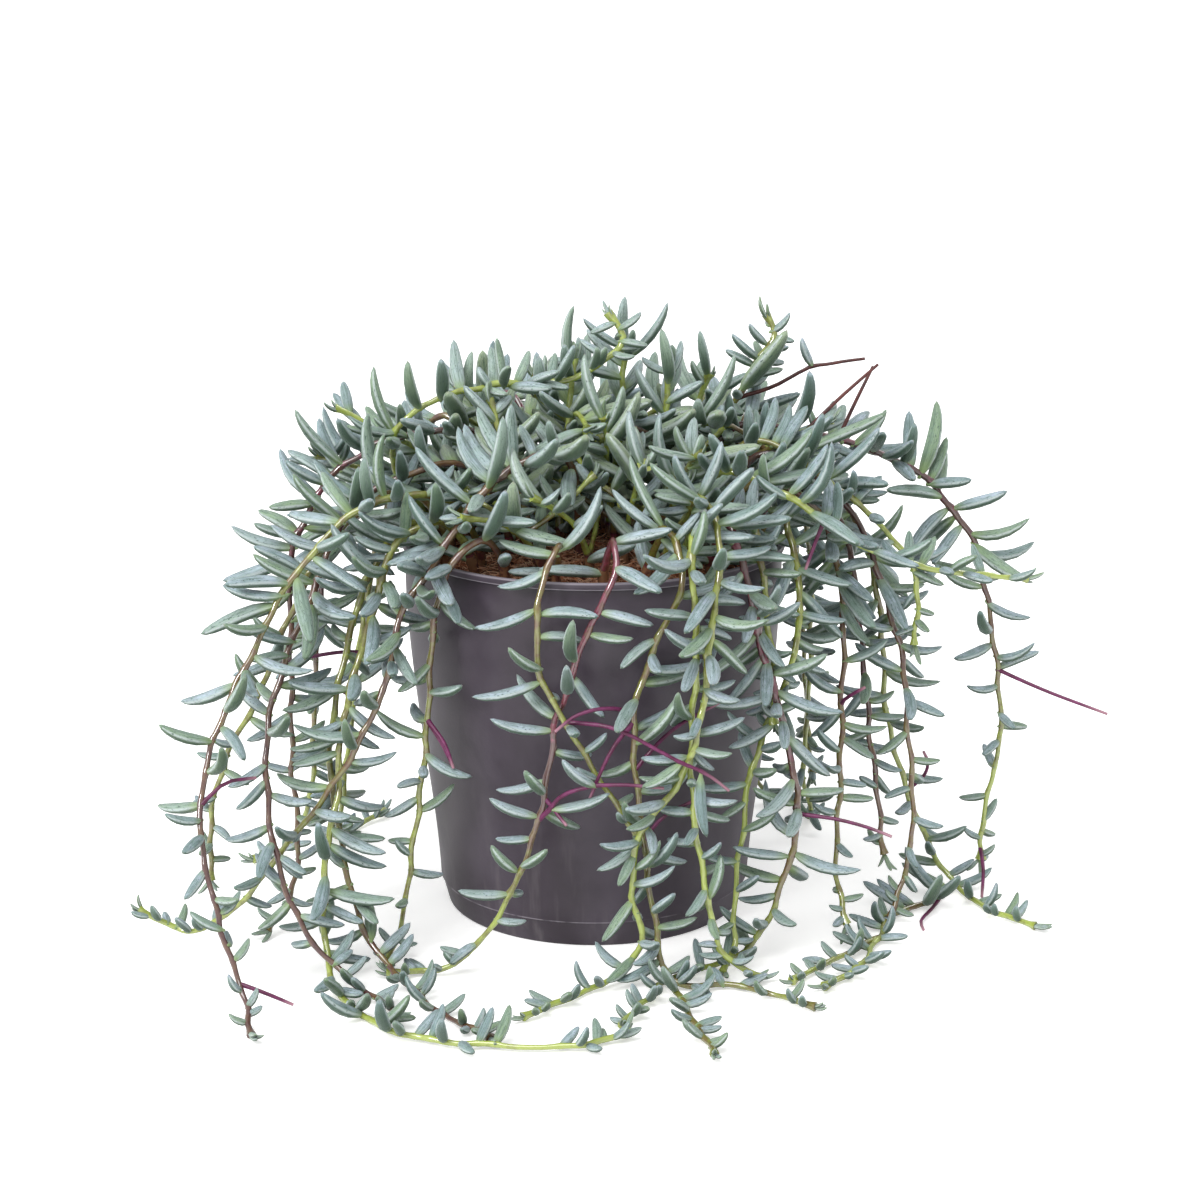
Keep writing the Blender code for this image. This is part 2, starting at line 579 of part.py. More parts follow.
def grow_leaves(plants, wanted):
    """Leaves for the places whose number passes the test, each turned until it fits."""
    space = Space()
    names = list(plants)
    for owner, name in enumerate(names):
        for kind, path, radii in plants[name]:
            keep = simplified(path, kind == "stem")
            pieces = np.full(len(keep) - 1, STEM_PIECE)
            space.add(path[keep], radii[keep] * CORNER_SPREAD + STEM_MARGIN, owner, pieces)
    leaves = {name: [] for name in names}
    for owner, name in enumerate(names):
        upright_stem = name.startswith("crown_shoot") and name != TALL_SHOOT
        for part, (kind, path, radii) in enumerate(plants[name]):
            if kind == "stalk":
                continue
            along = arc_lengths(path)
            coarse = path[simplified(path, kind == "stem")]
            places = leaf_places(path, upright_stem, kind == "stem")
            for number, place in enumerate(places):
                centre = point_at(path, along, place)
                if not (number == len(places) - 1 or wanted(number, centre)):
                    continue
                nearest = nearest_on(coarse, centre)
                tangent = direction_at(path, along, place)
                young = YOUNG_SHOOT_LENGTH if upright_stem else YOUNG_LENGTH
                growth = min(1.0, SMALLEST_GROWTH + (1 - SMALLEST_GROWTH) * (along[-1] - place) / young)
                upright = upright_stem and tangent[2] > 0.5
                leaf = fitted_leaf(space, nearest, tangent, growth, upright, (owner, part, number))
                if leaf:
                    leaves[name].append(leaf)
    return leaves


def point_at(path, along, place):
    """The point this far along a path."""
    return np.array([np.interp(place, along, path[:, axis]) for axis in range(3)])


def direction_at(path, along, place):
    """The way a path runs at this place."""
    return unit(point_at(path, along, place + 3) - point_at(path, along, place - 3))


def nearest_on(line, point):
    """The point of a line nearest to the given one."""
    offsets = line_offsets(point[None], line[:-1], line[1:])[0]
    return point - offsets[np.linalg.norm(offsets, axis=1).argmin()]


def fitted_leaf(space, root, tangent, growth, upright, key):
    """The first try at a leaf from this root that fits, or nothing. The key is its owner, part and number."""
    owner, part, number = key
    turn = number // 2 if root[2] > CROWN_FLOOR else number
    side = 1 if turn % 2 else -1
    rng = np.random.default_rng([SEED, owner, part, number])
    for attempt in range(LEAF_TRIES):
        leaf = new_leaf(rng, root, tangent, side, upright, number * GOLDEN_ANGLE, growth, attempt)
        if abs(leaf["out"] @ tangent) > MOST_ALONG_STEM or not leaf_fits(space, leaf, owner):
            continue
        kinds = np.array([ROOT_PIECE] + [BLADE_PIECE] * (len(LEAF_STATIONS) - 2))
        space.add(leaf_spine(leaf), leaf_radii(leaf), owner, kinds)
        return leaf
    return None


def chosen_place(number, centre):
    """Whether this solid plant fills a leaf place: half of those on the heap, a third of those that trail."""
    if centre[2] < CROWN_FLOOR:
        return number % 3 == 0
    deep = centre[2] < HEAP_CORE_HEIGHT and math.hypot(centre[0], centre[1]) < HEAP_CORE_RADIUS
    return number % 2 == 0 and not (deep and centre[1] > HEAP_CORE_FRONT)


def mesh_object(name, points, faces):
    """An object from points in millimetres."""
    mesh = bpy.data.meshes.new(name)
    mesh.from_pydata([tuple(point) for point in np.asarray(points) * MM], [], faces)
    mesh.validate()
    made = bpy.data.objects.new(name, mesh)
    bpy.context.scene.collection.objects.link(made)
    return made


def rings_mesh(name, centres, radii, sides, start_side):
    """A closed tube through rings of corners. A ring with no radius is a single point."""
    tangents = np.gradient(centres, axis=0)
    across = unit(np.cross(tangents[0], start_side))
    points, rings = [], []
    for centre, tangent, radius in zip(centres, tangents, radii):
        across = unit(across - (across @ unit(tangent)) * unit(tangent))
        second = np.cross(unit(tangent), across)
        count = sides if radius > 0 else 1
        rings.append(range(len(points), len(points) + count))
        for k in range(count):
            turn = 2 * math.pi * k / sides
            points.append(centre + radius * (math.cos(turn) * across + math.sin(turn) * second))
    faces = []
    for below, above in zip(rings, rings[1:]):
        for k in range(sides):
            after = (k + 1) % sides
            corners = [below[k % len(below)], below[after % len(below)],
                       above[after % len(above)], above[k % len(above)]]
            faces.append([corner for i, corner in enumerate(corners) if corner != corners[i - 1]])
    if len(rings[0]) > 1:
        faces.append(list(rings[0])[::-1])
    if len(rings[-1]) > 1:
        faces.append(list(rings[-1]))
    return mesh_object(name, points, faces)


def leaf_object(leaf):
    """A coarse spindle leaf along its spine."""
    keel = np.cross(leaf["out"], leaf["up"])
    return rings_mesh("leaf", leaf_spine(leaf), leaf_radii(leaf), LEAF_SIDES, keel)


def baked(target):
    """The object with its modifiers applied to its mesh."""
    graph = bpy.context.evaluated_depsgraph_get()
    mesh = bpy.data.meshes.new_from_object(target.evaluated_get(graph))
    target.modifiers.clear()
    target.data = mesh
    return target


def fused(name, trunk, pieces):
    """One closed solid of the trunk and the pieces that grow from it."""
    grown = bpy.data.collections.new(name + "_pieces")
    bpy.context.scene.collection.children.link(grown)
    for piece in pieces:
        bpy.context.scene.collection.objects.unlink(piece)
        grown.objects.link(piece)
    join = trunk.modifiers.new("Fuse", "BOOLEAN")
    join.operation = "UNION"
    join.operand_type = "COLLECTION"
    join.collection = grown
    join.solver = "MANIFOLD"
    baked(trunk)
    for piece in pieces:
        bpy.data.objects.remove(piece)
    bpy.data.collections.remove(grown)
    return trunk


def build_plant(name, parts, leaves):
    """One leafy stem: its tubes and its leaves, fused."""
    tubes = []
    for kind, path, radii in parts:
        keep = simplified(path, kind == "stem")
        label = name if kind == "stem" else kind
        corners = radii[keep] * CORNER_SPREAD
        tubes.append(rings_mesh(label, path[keep], corners, STEM_SIDES, STEM_START_SIDE))
    trunk = fused(name, tubes[0], tubes[1:] + [leaf_object(leaf) for leaf in leaves])
    dress(trunk, *PLANT_FINISH)
    return trunk


def dress(target, colour, roughness):
    """Gives the object its own plain material and smooth shading with its edges kept."""
    material = bpy.data.materials.new(target.name + "_finish")
    material.use_nodes = True
    surface = material.node_tree.nodes["Principled BSDF"]
    surface.inputs["Base Color"].default_value = (*colour, 1.0)
    surface.inputs["Roughness"].default_value = roughness
    target.data.materials.clear()
    target.data.materials.append(material)
    target.data.shade_smooth()
    target.data.set_sharp_from_angle(angle=SHARP_ANGLE)


def turned(name, outline):
    """A solid turned from an outline of radius and height pairs, run inside, rim, outside, base."""
    points = [(radius, 0.0, height) for radius, height in outline]
    made = mesh_object(name, points, [])
    made.data.edges.add(len(points) - 1)
    for k, edge in enumerate(made.data.edges):
        edge.vertices = (k, k + 1)
    spin = made.modifiers.new("Turn", "SCREW")
    spin.steps = POT_SIDES
    spin.render_steps = POT_SIDES
    spin.use_merge_vertices = True
    spin.merge_threshold = SEAM_MERGE
    return baked(made)


def wall_radius(height):
    """The outside radius of the pot's wall at this height."""
    heights = [0.0] + [point[1] for point in WALL_OUTLINE[::-1]]
    radii = [FOOT_RADIUS] + [point[0] for point in WALL_OUTLINE[::-1]]
    return float(np.interp(height, heights, radii))


def build_pot():
    """The pot: wall, lip, seam step, foot ring and a recessed floor with drain holes."""
    inner = [(radius - WALL_THICKNESS, height) for radius, height in WALL_OUTLINE[::-1][1:]]
    inner_floor = wall_radius(FLOOR_TOP) - WALL_THICKNESS
    rim = [(WALL_OUTLINE[0][0] - WALL_THICKNESS, POT_HEIGHT),
           (LIP_RADIUS - LIP_EDGE, POT_HEIGHT), (LIP_RADIUS, POT_HEIGHT - LIP_EDGE),
           (LIP_RADIUS, POT_HEIGHT - LIP_HEIGHT + LIP_EDGE), (WALL_OUTLINE[0][0], POT_HEIGHT - LIP_HEIGHT)]
    seam_radius, seam_height = WALL_OUTLINE[-1]
    seam = [(seam_radius, seam_height), (seam_radius - SEAM_STEP, seam_height - SEAM_STEP)]
    foot = [(FOOT_RADIUS, 0.0), (FOOT_RADIUS - FOOT_RING_WIDTH, 0.0),
            (FOOT_RADIUS - FOOT_RING_WIDTH - RECESS_SLOPE, RECESS_DEPTH),
            (CENTRE_DISC_RADIUS + RECESS_SLOPE, RECESS_DEPTH), (CENTRE_DISC_RADIUS, 0.0), (0.0, 0.0)]
    outline = [(0.0, FLOOR_TOP), (inner_floor, FLOOR_TOP)] + inner[:-1] + rim
    outline += WALL_OUTLINE[1:-1] + seam + foot
    pot = turned("pot", outline)
    drills = []
    for k in range(DRAIN_HOLES):
        angle = 2 * math.pi * (k + 0.5) / DRAIN_HOLES
        x, y = DRAIN_CIRCLE * math.cos(angle), DRAIN_CIRCLE * math.sin(angle)
        line = np.array([(x, y, -DRILL_OVERRUN), (x, y, FLOOR_TOP + DRILL_OVERRUN)])
        drills.append(rings_mesh("drill", line, [DRAIN_RADIUS] * 2, DRAIN_SIDES, (1.0, 0.0, 0.0)))
    bored(pot, drills)
    dress(pot, *POT_FINISH)
    return pot


def bored(target, drills):
    """Cuts every drill out of the target, then removes the drills."""
    cutters = bpy.data.collections.new(target.name + "_drills")
    bpy.context.scene.collection.children.link(cutters)
    for drill in drills:
        drill.hide_render = True
        drill.display_type = "WIRE"
        bpy.context.scene.collection.objects.unlink(drill)
        cutters.objects.link(drill)
    cut = target.modifiers.new("Holes", "BOOLEAN")
    cut.operation = "DIFFERENCE"
    cut.operand_type = "COLLECTION"
    cut.collection = cutters
    cut.solver = "MANIFOLD"
    baked(target)
    for drill in drills:
        bpy.data.objects.remove(drill)
    bpy.data.collections.remove(cutters)


def build_soil(roots):
    """The soil inside the pot, heaped a little, with a plain square hole round every root."""
    floor_radius = wall_radius(FLOOR_TOP) - WALL_THICKNESS - GAP
    side = [(radius - WALL_THICKNESS - GAP, height) for radius, height in WALL_OUTLINE[::-1][1:-1]]
    edge = float(wall_radius(SOIL_EDGE_HEIGHT)) - WALL_THICKNESS - 2 * GAP
    outline = [(0.0, SOIL_EDGE_HEIGHT), (edge * SOIL_RING, SOIL_EDGE_HEIGHT), (edge, SOIL_EDGE_HEIGHT)]
    outline += side[::-1] + [(floor_radius, FLOOR_TOP + GAP), (0.0, FLOOR_TOP + GAP)]
    soil = turned("soil", outline)
    for vertex in soil.data.vertices:
        x, y, z = vertex.co / MM
        if z > SOIL_EDGE_HEIGHT - 1:
            vertex.co.z = soil_height(x, y) * MM
    drills = []
    for x, y in roots:
        line = np.array([(x, y, HOLE_BOTTOM), (x, y, POT_HEIGHT)])
        drills.append(rings_mesh("drill", line, [HOLE_HALF_WIDTH * math.sqrt(2)] * 2, 4, (1.0, 1.0, 0.0)))
    bored(soil, drills)
    dress(soil, *SOIL_FINISH)
    return soil


def main():
    """Clears the scene and builds the pot, the soil and every leafy stem."""
    for old in list(bpy.data.objects):
        bpy.data.objects.remove(old)
    plants = grow_stems()
    leaves = grow_leaves(plants, chosen_place)
    build_pot()
    build_soil([parts[0][1][0][:2] for parts in plants.values()])
    for name, parts in plants.items():
        build_plant(name, parts, leaves[name])


main()
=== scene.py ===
"""Looks for a potted string of fishhooks: the thin plastic pot, the coir soil and every leafy stem.

The stems and the leaves of the solid plant are laid out again by the same seeded rules. The rest of the
leaves then fill the places left over. Geometry nodes turn the layout into round stems and curved leaves.
"""

import json
import math

import bpy
import numpy as np
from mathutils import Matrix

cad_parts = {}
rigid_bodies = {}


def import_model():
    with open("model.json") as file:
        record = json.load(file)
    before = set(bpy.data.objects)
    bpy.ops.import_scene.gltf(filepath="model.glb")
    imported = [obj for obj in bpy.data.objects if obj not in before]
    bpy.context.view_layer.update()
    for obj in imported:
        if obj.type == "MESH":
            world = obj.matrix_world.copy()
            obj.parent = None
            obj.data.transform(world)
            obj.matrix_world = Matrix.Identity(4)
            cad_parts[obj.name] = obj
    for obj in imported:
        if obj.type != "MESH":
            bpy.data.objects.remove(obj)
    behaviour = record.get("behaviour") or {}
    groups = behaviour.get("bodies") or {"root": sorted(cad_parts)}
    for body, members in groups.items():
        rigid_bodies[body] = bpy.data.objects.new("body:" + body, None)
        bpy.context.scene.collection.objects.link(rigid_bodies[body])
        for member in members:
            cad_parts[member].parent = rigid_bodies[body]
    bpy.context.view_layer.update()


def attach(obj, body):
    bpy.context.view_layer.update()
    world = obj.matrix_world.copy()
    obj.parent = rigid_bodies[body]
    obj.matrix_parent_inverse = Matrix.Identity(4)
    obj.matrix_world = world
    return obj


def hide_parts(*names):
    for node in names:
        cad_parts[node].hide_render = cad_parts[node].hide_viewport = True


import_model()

# Lengths are in millimetres until a mesh is made, when they are multiplied by MM.
MM = 0.001
UP = np.array([0.0, 0.0, 1.0])

# Pot: radius and height pairs down the outside of the wall, slightly bellied
POT_HEIGHT = 150.0
WALL_OUTLINE = [(74.8, 147.0), (71.5, 89.0), (66.8, 52.0), (62.7, 10.6)]
SEAM_STEP = 0.45
FOOT_RADIUS = 59.5
WALL_THICKNESS = 1.2
LIP_RADIUS = 75.9
LIP_HEIGHT = 2.8
LIP_BOTTOM = POT_HEIGHT - LIP_HEIGHT
LIP_BAR_INSET = 1.5
FOOT_BAR_RADIUS = 0.6
TOP_RADIUS = WALL_OUTLINE[0][0]
# The middle of the wall from lip to foot, with half its thickness, which stems and leaves keep clear of
WALL_CHAIN = [(LIP_RADIUS - LIP_BAR_INSET, POT_HEIGHT - LIP_BAR_INSET, 1.6),
              *[(radius - WALL_THICKNESS / 2, height, WALL_THICKNESS / 2) for radius, height in WALL_OUTLINE],
              (FOOT_RADIUS - WALL_THICKNESS / 2, FOOT_BAR_RADIUS, FOOT_BAR_RADIUS)]
FLOOR_TOP = 3.5
RECESS_DEPTH = 2.0
FOOT_RING_WIDTH = 6.5
CENTRE_DISC_RADIUS = 23.0
DRAIN_HOLES = 8
DRAIN_RADIUS = 4.5
DRAIN_CIRCLE = 38.0
DENT_DEPTH = 0.35

# Soil
GAP = 0.35
SOIL_EDGE_HEIGHT = 141.0
SOIL_RISE = 5.0
SOIL_RIPPLE = 1.2
HOLE_BOTTOM = 131.0

# Stems
STEM_RADIUS = 1.2
TIP_RADIUS = 0.7
SHOOT_RADIUS = 1.0
STALK_RADIUS = 0.8
STALK_TIP_RADIUS = 0.45
STEM_THINNING = 1.3
CORNER_SPREAD = 1.12
STEM_MARGIN = 0.1
CURVE_SAMPLES = 24
PATH_STEP = 4.5
STRAIGHTNESS = 1.0
STEM_CLEARANCE = 1.7
ROOT_POINTS = 4
SHOOT_ROOT_POINTS = 2
ROOT_DEPTH = 2.0
ROOT_RISE = 5.0
FLOOR_CLEARANCE = 0.35

# How a stem is bent clear of what is in its way
BEND_ROUNDS = 60
BEND_SHARE = 0.7
BEND_UPWARD = 0.35
BENT_ENOUGH = 0.02

# Leaves
SEED = 41
CROWN_LEAF_STEP = 8.8
TRAILING_LEAF_STEP = 11.8
CROWN_LEAF_LENGTH = (22.0, 33.0)
TRAILING_LEAF_LENGTH = (17.0, 28.0)
LEAF_BASE_RADIUS = 1.15
LEAF_SLIMNESS = 0.064
LEAF_CORNER_SPREAD = 1.18
# Where along it a solid leaf has corners, and how far they stand out
LEAF_STATIONS = np.array([0.0, 0.24, 0.78, 1.0])
STATION_WIDTHS = np.array([0.0, 0.92, 0.9, 0.0])
BLADE_SHARES = np.array([0.25, 0.5, 0.75, 1.0])[:, None]
LEAF_SINK = 0.5
LEAF_BOW = (0.08, 0.45)
BOW_DIP = 0.45
CROWN_ARCHED_SHARE = 0.45
TRAILING_ARCHED_SHARE = 0.15
ARCHED_BOW = 0.7
LEAF_TRIES = 14
SHRINK_PER_TRY = 0.02
WIDEN_PER_TRY = 0.3
MOST_ALONG_STEM = 0.88
LEAF_CLEARANCE = 0.15
OWN_STEM_SHARE = 0.4
YOUNG_LENGTH = 120.0
YOUNG_SHOOT_LENGTH = 9.0
SMALLEST_GROWTH = 0.35
YOUNG_TIP_LENGTH = 24.0
YOUNG_TIP_CLOSENESS = 0.6
FIRST_LEAF = 18.0
TANGENT_REACH = 3
FIRST_SHOOT_LEAF = 5.0
LAST_LEAF_MARGIN = 1.0
LYING_HEIGHT = 15.0
STEEP = 0.7
UPRIGHT = 0.5
FRONT_LINE = 30.0
CROWN_FLOOR = 136.0
HEAP_CORE_RADIUS = 58.0
HEAP_CORE_HEIGHT = 168.0
HEAP_CORE_FRONT = -36.0

# Ways a leaf points, in radians: how far it strays sideways, and the least and most it rises
GOLDEN_ANGLE = math.radians(137.5)
AIM_SPREAD = 0.25
HANGING_SPREAD = 0.65
FORWARD_LEAN = (0.1, 0.7)
UPRIGHT_RISE = (0.1, 1.2)
YOUNG_RISE = (0.75, 1.35)
LYING_RISE = (0.05, 0.95)
LOOSE_RISE = (-0.3, 0.6)
HANGING_RISE = (-0.75, 0.55)

# A kind for each line that a new leaf must clear
STEM_PIECE, ROOT_PIECE, BLADE_PIECE = 0, 1, 2


def numbered(**groups):
    """The values of each group, each under the group's name and its number from 1."""
    return {f"{group}_{k}": value for group, values in groups.items() for k, value in enumerate(values, 1)}


# Routes: the root's x and y in the soil, then x, y, z. The front is -y, and the right is +x
STEMS = numbered(
    left_stem=[
        [(-44, -22), (-56, -34, 172), (-84, -52, 174), (-104, -62, 160), (-123, -75, 131), (-141, -92, 92),
         (-144, -101, 72), (-142, -110, 52), (-133, -123, 23), (-127, -130, 10), (-123, -146, 2)],
        [(-56, -8), (-72, -18, 172), (-98, -30, 160), (-117, -38, 128), (-129, -40, 98), (-141, -42, 76),
         (-149, -43, 52), (-151, -45, 22)],
        [(-30, 4), (-42, 0, 190), (-73, -8, 192), (-94, -12, 183), (-107, -15, 170), (-116, -19, 152),
         (-119, -22, 128), (-119, -28, 95), (-119, -33, 62), (-117, -38, 32), (-121, -43, 12),
         (-127, -50, 3)],
        [(-33, -11), (-48, -18, 182), (-82, -30, 176), (-97, -38, 162), (-106, -48, 141), (-115, -57, 120),
         (-122, -67, 98), (-123, -77, 74), (-119, -88, 48), (-108, -98, 22), (-92, -106, 6),
         (-72, -128, 2)],
        [(-6, -16), (-9, -28, 186), (-17, -40, 192), (-42, -50, 178), (-59, -60, 154), (-71, -66, 138),
         (-79, -73, 107), (-97, -78, 74), (-119, -76, 45), (-137, -71, 21), (-157, -66, 8),
         (-174, -66, 17)],
        [(-46, -36), (-58, -44, 166), (-73, -54, 160), (-83, -60, 136), (-91, -67, 110), (-96, -75, 80),
         (-101, -84, 46), (-101, -94, 14), (-95, -110, 2), (-69, -147, 2), (-33, -157, 2), (-2, -156, 2),
         (11, -147, 2)],
        [(-58, -22), (-70, -36, 164), (-85, -50, 146), (-94, -58, 118), (-100, -67, 84), (-97, -75, 56),
         (-92, -81, 33), (-84, -89, 12), (-68, -106, 2), (-57, -127, 2), (-37, -149, 2)],
        [(-34, -46), (-41, -56, 162), (-52, -63, 156), (-58, -64, 142), (-61, -63, 120), (-64, -64, 82),
         (-70, -68, 38), (-75, -72, 10), (-78, -80, 2)],
    ],
    front_stem=[
        [(-14, -54), (-13, -74, 164), (-20, -84, 146), (-20, -86, 121), (-10, -88, 99), (7, -90, 71),
         (15, -91, 58)],
        [(4, -58), (7, -72, 166), (8, -82, 156), (-3, -85, 133), (-14, -86, 96), (-20, -87, 63),
         (-32, -88, 31), (-53, -89, 4), (-76, -92, 2)],
        [(20, -54), (27, -66, 168), (33, -80, 154), (21, -83, 124), (15, -86, 104), (18, -90, 58),
         (24, -94, 18), (29, -102, 3), (54, -104, 2), (80, -122, 2)],
        [(34, -51), (36, -66, 168), (36, -82, 156), (38, -87, 128), (36, -90, 86), (41, -94, 42),
         (49, -96, 12), (61, -96, 2)],
        [(27, -39), (40, -58, 178), (46, -76, 166), (43, -88, 134), (39, -91, 104), (33, -93, 80),
         (18, -95, 60), (14, -95, 36), (18, -96, 16), (7, -99, 3), (-24, -131, 2)],
        [(45, -39), (50, -54, 168), (56, -62, 154), (63, -66, 124), (72, -68, 92), (78, -70, 58),
         (74, -72, 36), (60, -76, 6), (30, -97, 2), (17, -124, 2), (11, -139, 2)],
        [(54, -27), (58, -42, 170), (62, -54, 158), (65, -58, 138), (68, -62, 112), (69, -64, 92)],
    ],
    right_stem=[
        [(61, -14), (72, -30, 166), (78, -46, 140), (76, -56, 118), (69, -61, 96), (60, -66, 73),
         (57, -70, 52), (54, -76, 30), (53, -82, 5), (50, -90, 2)],
        [(48, -13), (62, -18, 176), (86, -22, 166), (97, -25, 130), (97, -33, 92), (96, -42, 58),
         (95, -50, 26), (99, -59, 9)],
        [(62, 1), (76, -4, 172), (98, -9, 156), (104, -12, 126), (109, -18, 81), (114, -24, 43),
         (116, -27, 26)],
        [(50, 2), (66, -2, 184), (100, -10, 164), (113, -16, 134), (122, -20, 104), (124, -23, 80),
         (127, -27, 44), (124, -30, 18), (119, -37, 3)],
        [(57, 16), (74, 16, 180), (102, 12, 160), (113, 8, 130), (117, 8, 104), (119, 9, 79), (125, 9, 52),
         (137, 8, 20), (148, 0, 3), (161, -32, 2), (173, -43, 2)],
        [(37, 12), (54, 14, 190), (92, 20, 186), (125, 22, 174), (144, 20, 158), (155, 19, 140),
         (163, 16, 103), (167, 14, 61), (161, 12, 26), (160, 10, 10)],
        [(36, -24), (48, -40, 184), (75, -52, 176), (95, -46, 161), (122, -40, 148), (166, -30, 140)],
        [(38, -4), (60, -10, 190), (96, -18, 172), (118, -20, 152), (126, -21, 136), (126, -23, 112)],
    ],
)
STEMS["crown_runner"] = [(-60, 8), (-78, -8, 180), (-74, -18, 199), (-56, -12, 209), (-30, -2, 211),
                         (-12, 0, 212), (4, 0, 220), (11, 0, 231), (7, 0, 238)]

# Short upright stems of the crown: root in the soil, then a bend, then the tip. One is tall and thin
TALL_SHOOT = "crown_shoot_8"
CROWN_SHOOTS = [
    [(6, 12), (9, 14, 180), (13, 18, 222)],
    [(-14, 4), (-12, 5, 180), (-8, 8, 218)],
    [(22, 2), (26, 5, 180), (30, 8, 219)],
    [(-22, -26), (-30, -22, 176), (-40, -14, 206)],
    [(-44, 8), (-58, 8, 176), (-84, 2, 192), (-100, 0, 201)],
    [(-57, 22), (-76, 16, 168), (-108, 0, 182)],
    [(26, 24), (36, 28, 180), (46, 30, 208)],
    [(44, 28), (48, 28, 180), (56, 22, 200), (64, 20, 214), (71, 20, 227), (69, 20, 234)],
    [(12, -22), (15, -32, 172), (19, -46, 186)],
    [(-2, -38), (-8, -46, 166), (-22, -58, 178)],
    [(22, -12), (30, -26, 176), (40, -46, 192)],
    [(-20, -42), (-32, -52, 166), (-48, -62, 172)],
    [(-22, 20), (-34, 14, 182), (-52, 4, 208)],
    [(4, 30), (0, 34, 182), (-6, 34, 214)],
    [(46, 12), (64, 6, 182), (92, 0, 196)],
    [(-12, 34), (-16, 38, 178), (-24, 44, 206)],
    [(8, -6), (6, -12, 176), (4, -22, 200)],
]

# The far side, its stems spread evenly round it, with reach, share of sway and height down their way
BACK_STEMS = 10
BACK_FIRST_ANGLE = 24.0
BACK_ANGLE_STEP = 14.8
BACK_ROOT_RADII = (58.0, 46.0)
BACK_BEND_REACH = 14
BACK_RIM_REACH = 92
BACK_RIM_DROP = 12
BACK_TOPS = (188, 172)
BACK_TOP_SPREAD = (-4, 8)
BACK_LEAN = (-0.1, 0.1)
BACK_SWAY = (-0.3, 0.3)
BACK_SPREAD = (-6, 12)
BACK_FALL = [(108, 0.25, 138), (114, 0.45, 100), (116, 0.65, 60)]
BACK_ENDS = [[(118, 0.85, 24), (128, 1.1, 3), (136, 1.8, 2)], [(118, 0.85, 26)],
             [(120, 0.85, 14), (130, 0.4, 2), (134, -0.5, 2)]]

# Side shoots: the stem they grow from, then their own route
SIDE_SHOOTS = [
    ("right_stem_5", [(148, 0, 3), (134, -18, 2), (120, -33, 2), (111, -57, 2), (100, -87, 2),
                      (87, -103, 2)]),
    ("right_stem_5", [(111, -57, 2), (98, -73, 2), (87, -85, 2), (76, -99, 2)]),
    ("front_stem_3", [(29, -102, 3), (34, -124, 2), (42, -162, 2)]),
]

# Thin leafless stalks
STALKS = [
    ("front_stem_3", [(15, -86, 104), (4, -92, 107), (-6, -94, 105), (-14, -92, 98)]),
    ("front_stem_1", [(-10, -88, 99), (8, -95, 99), (28, -99, 90), (43, -97, 82), (50, -95, 76)]),
    ("front_stem_2", [(-20, -87, 63), (-10, -93, 75), (8, -96, 79), (26, -98, 78)]),
    ("right_stem_6", [(164, 15, 92), (184, 8, 84), (208, 0, 76)]),
    ("front_stem_6", [(78, -70, 58), (92, -76, 58), (104, -80, 56), (112, -84, 54)]),
    ("left_stem_1", [(-129, -127, 14), (-120, -129, 11), (-109, -130, 6)]),
    ("right_stem_7", [(88, -48, 166), (84, -50, 158), (80, -54, 150)]),
    ("crown_shoot_8", [(57, 22, 203), (72, 20, 208), (84, 20, 214), (98, 20, 217), (108, 20, 218)]),
    ("crown_shoot_15", [(84, 1, 192), (98, 10, 204), (113, 18, 216)]),
    ("right_stem_6", [(96, 20, 186), (104, 24, 200), (112, 26, 214)]),
]

# The visible plant: how close its leaves stand, and its finer shapes
HALF_STEP_KEY = 1000
HALF_STEP_CHANCE = {"front_stem_1": 0.1, "front_stem_2": 0.1, "front_stem_3": 0.6, "front": 1.0, "left": 0.5,
                    "right": 0.55, "back": 0.3, "crown": 0.5}
LYING_CHANCE = 0.85
OPEN_SOIL_SIDES = (-50.0, 34.0)
OPEN_SOIL_BACK = 2.0
OPEN_SOIL_TOP = 168.0
OPEN_SOIL_CHANCE = 0.05
CROWN_FRONT = 0.0
CROWN_FRONT_CHANCE = 0.7
FILL_SPREAD = 0.7
FILL_FLATNESS = (1.0, 0.15)
FILL_BOW = (0.2, 1.4)
FILL_LIFT = (-0.75, 0.6)
FILL_VARIETY = 61.0
FILL_TRIES = 26
# Reach of the heap's inner part: fill leaves there lie flatter and get painted fill light
INNER_HEAP_REACH = (78.0, 50.0)
SPRIGS = 3
SPRIG_TURN_SPREAD = 0.2
SPRIG_START = (0.28, 0.7)
SPRIG_LENGTH = (20.0, 36.0)
SPRIG_LEAN = 0.85
SPRIG_RISE = (0.15, 0.75)
SPRIG_MIDDLE = (0.8, 0.55)
SPRIG_FRONT = -42.0
SPRIG_REACH = 84.0
AGED_HEIGHT = (158.0, 205.0)
AGED_REACH = 58.0
AGED_SHARE = 0.45
AGED_SWELLING = 1.25
AGE_VARIETY = 97.0
GROWN_AGE = 0.55
FINE_STEP = 2.2
NODE_SWELLING = 0.28
NODE_LENGTH = 1.8
NODE_KINK = 0.7
KINK_LENGTH = 4.0
TIP_LEAVES = 3
TIP_LEAF_LENGTH = (5.0, 10.0)
TIP_LEAF_SLIMNESS = 0.12
TIP_LEAF_SPREAD = (0.25, 0.75)
TIP_LEAF_BOW = (0.1, 0.35)
TIP_LEAF_SINK = 0.4
TIP_LEAF_FLOOR = 1.8
FOOT_LENGTH = 9.0
FOOT_SWELLING = 0.5
BARK_EDGE = 0.6
LEAF_SWAY = 0.17
# How pale the leaves of each side's stems may be: lower values darken them, painted shade mostly on the right
# and back
SIDE_PAINTED_SHADE = {"left": 0.65, "right": 0.3, "back": 0.4}
DRY_STALK_STEMS = ("crown_shoot_8", "crown_shoot_15", "right_stem_6")
DRY_STALK_HEIGHT = 150.0
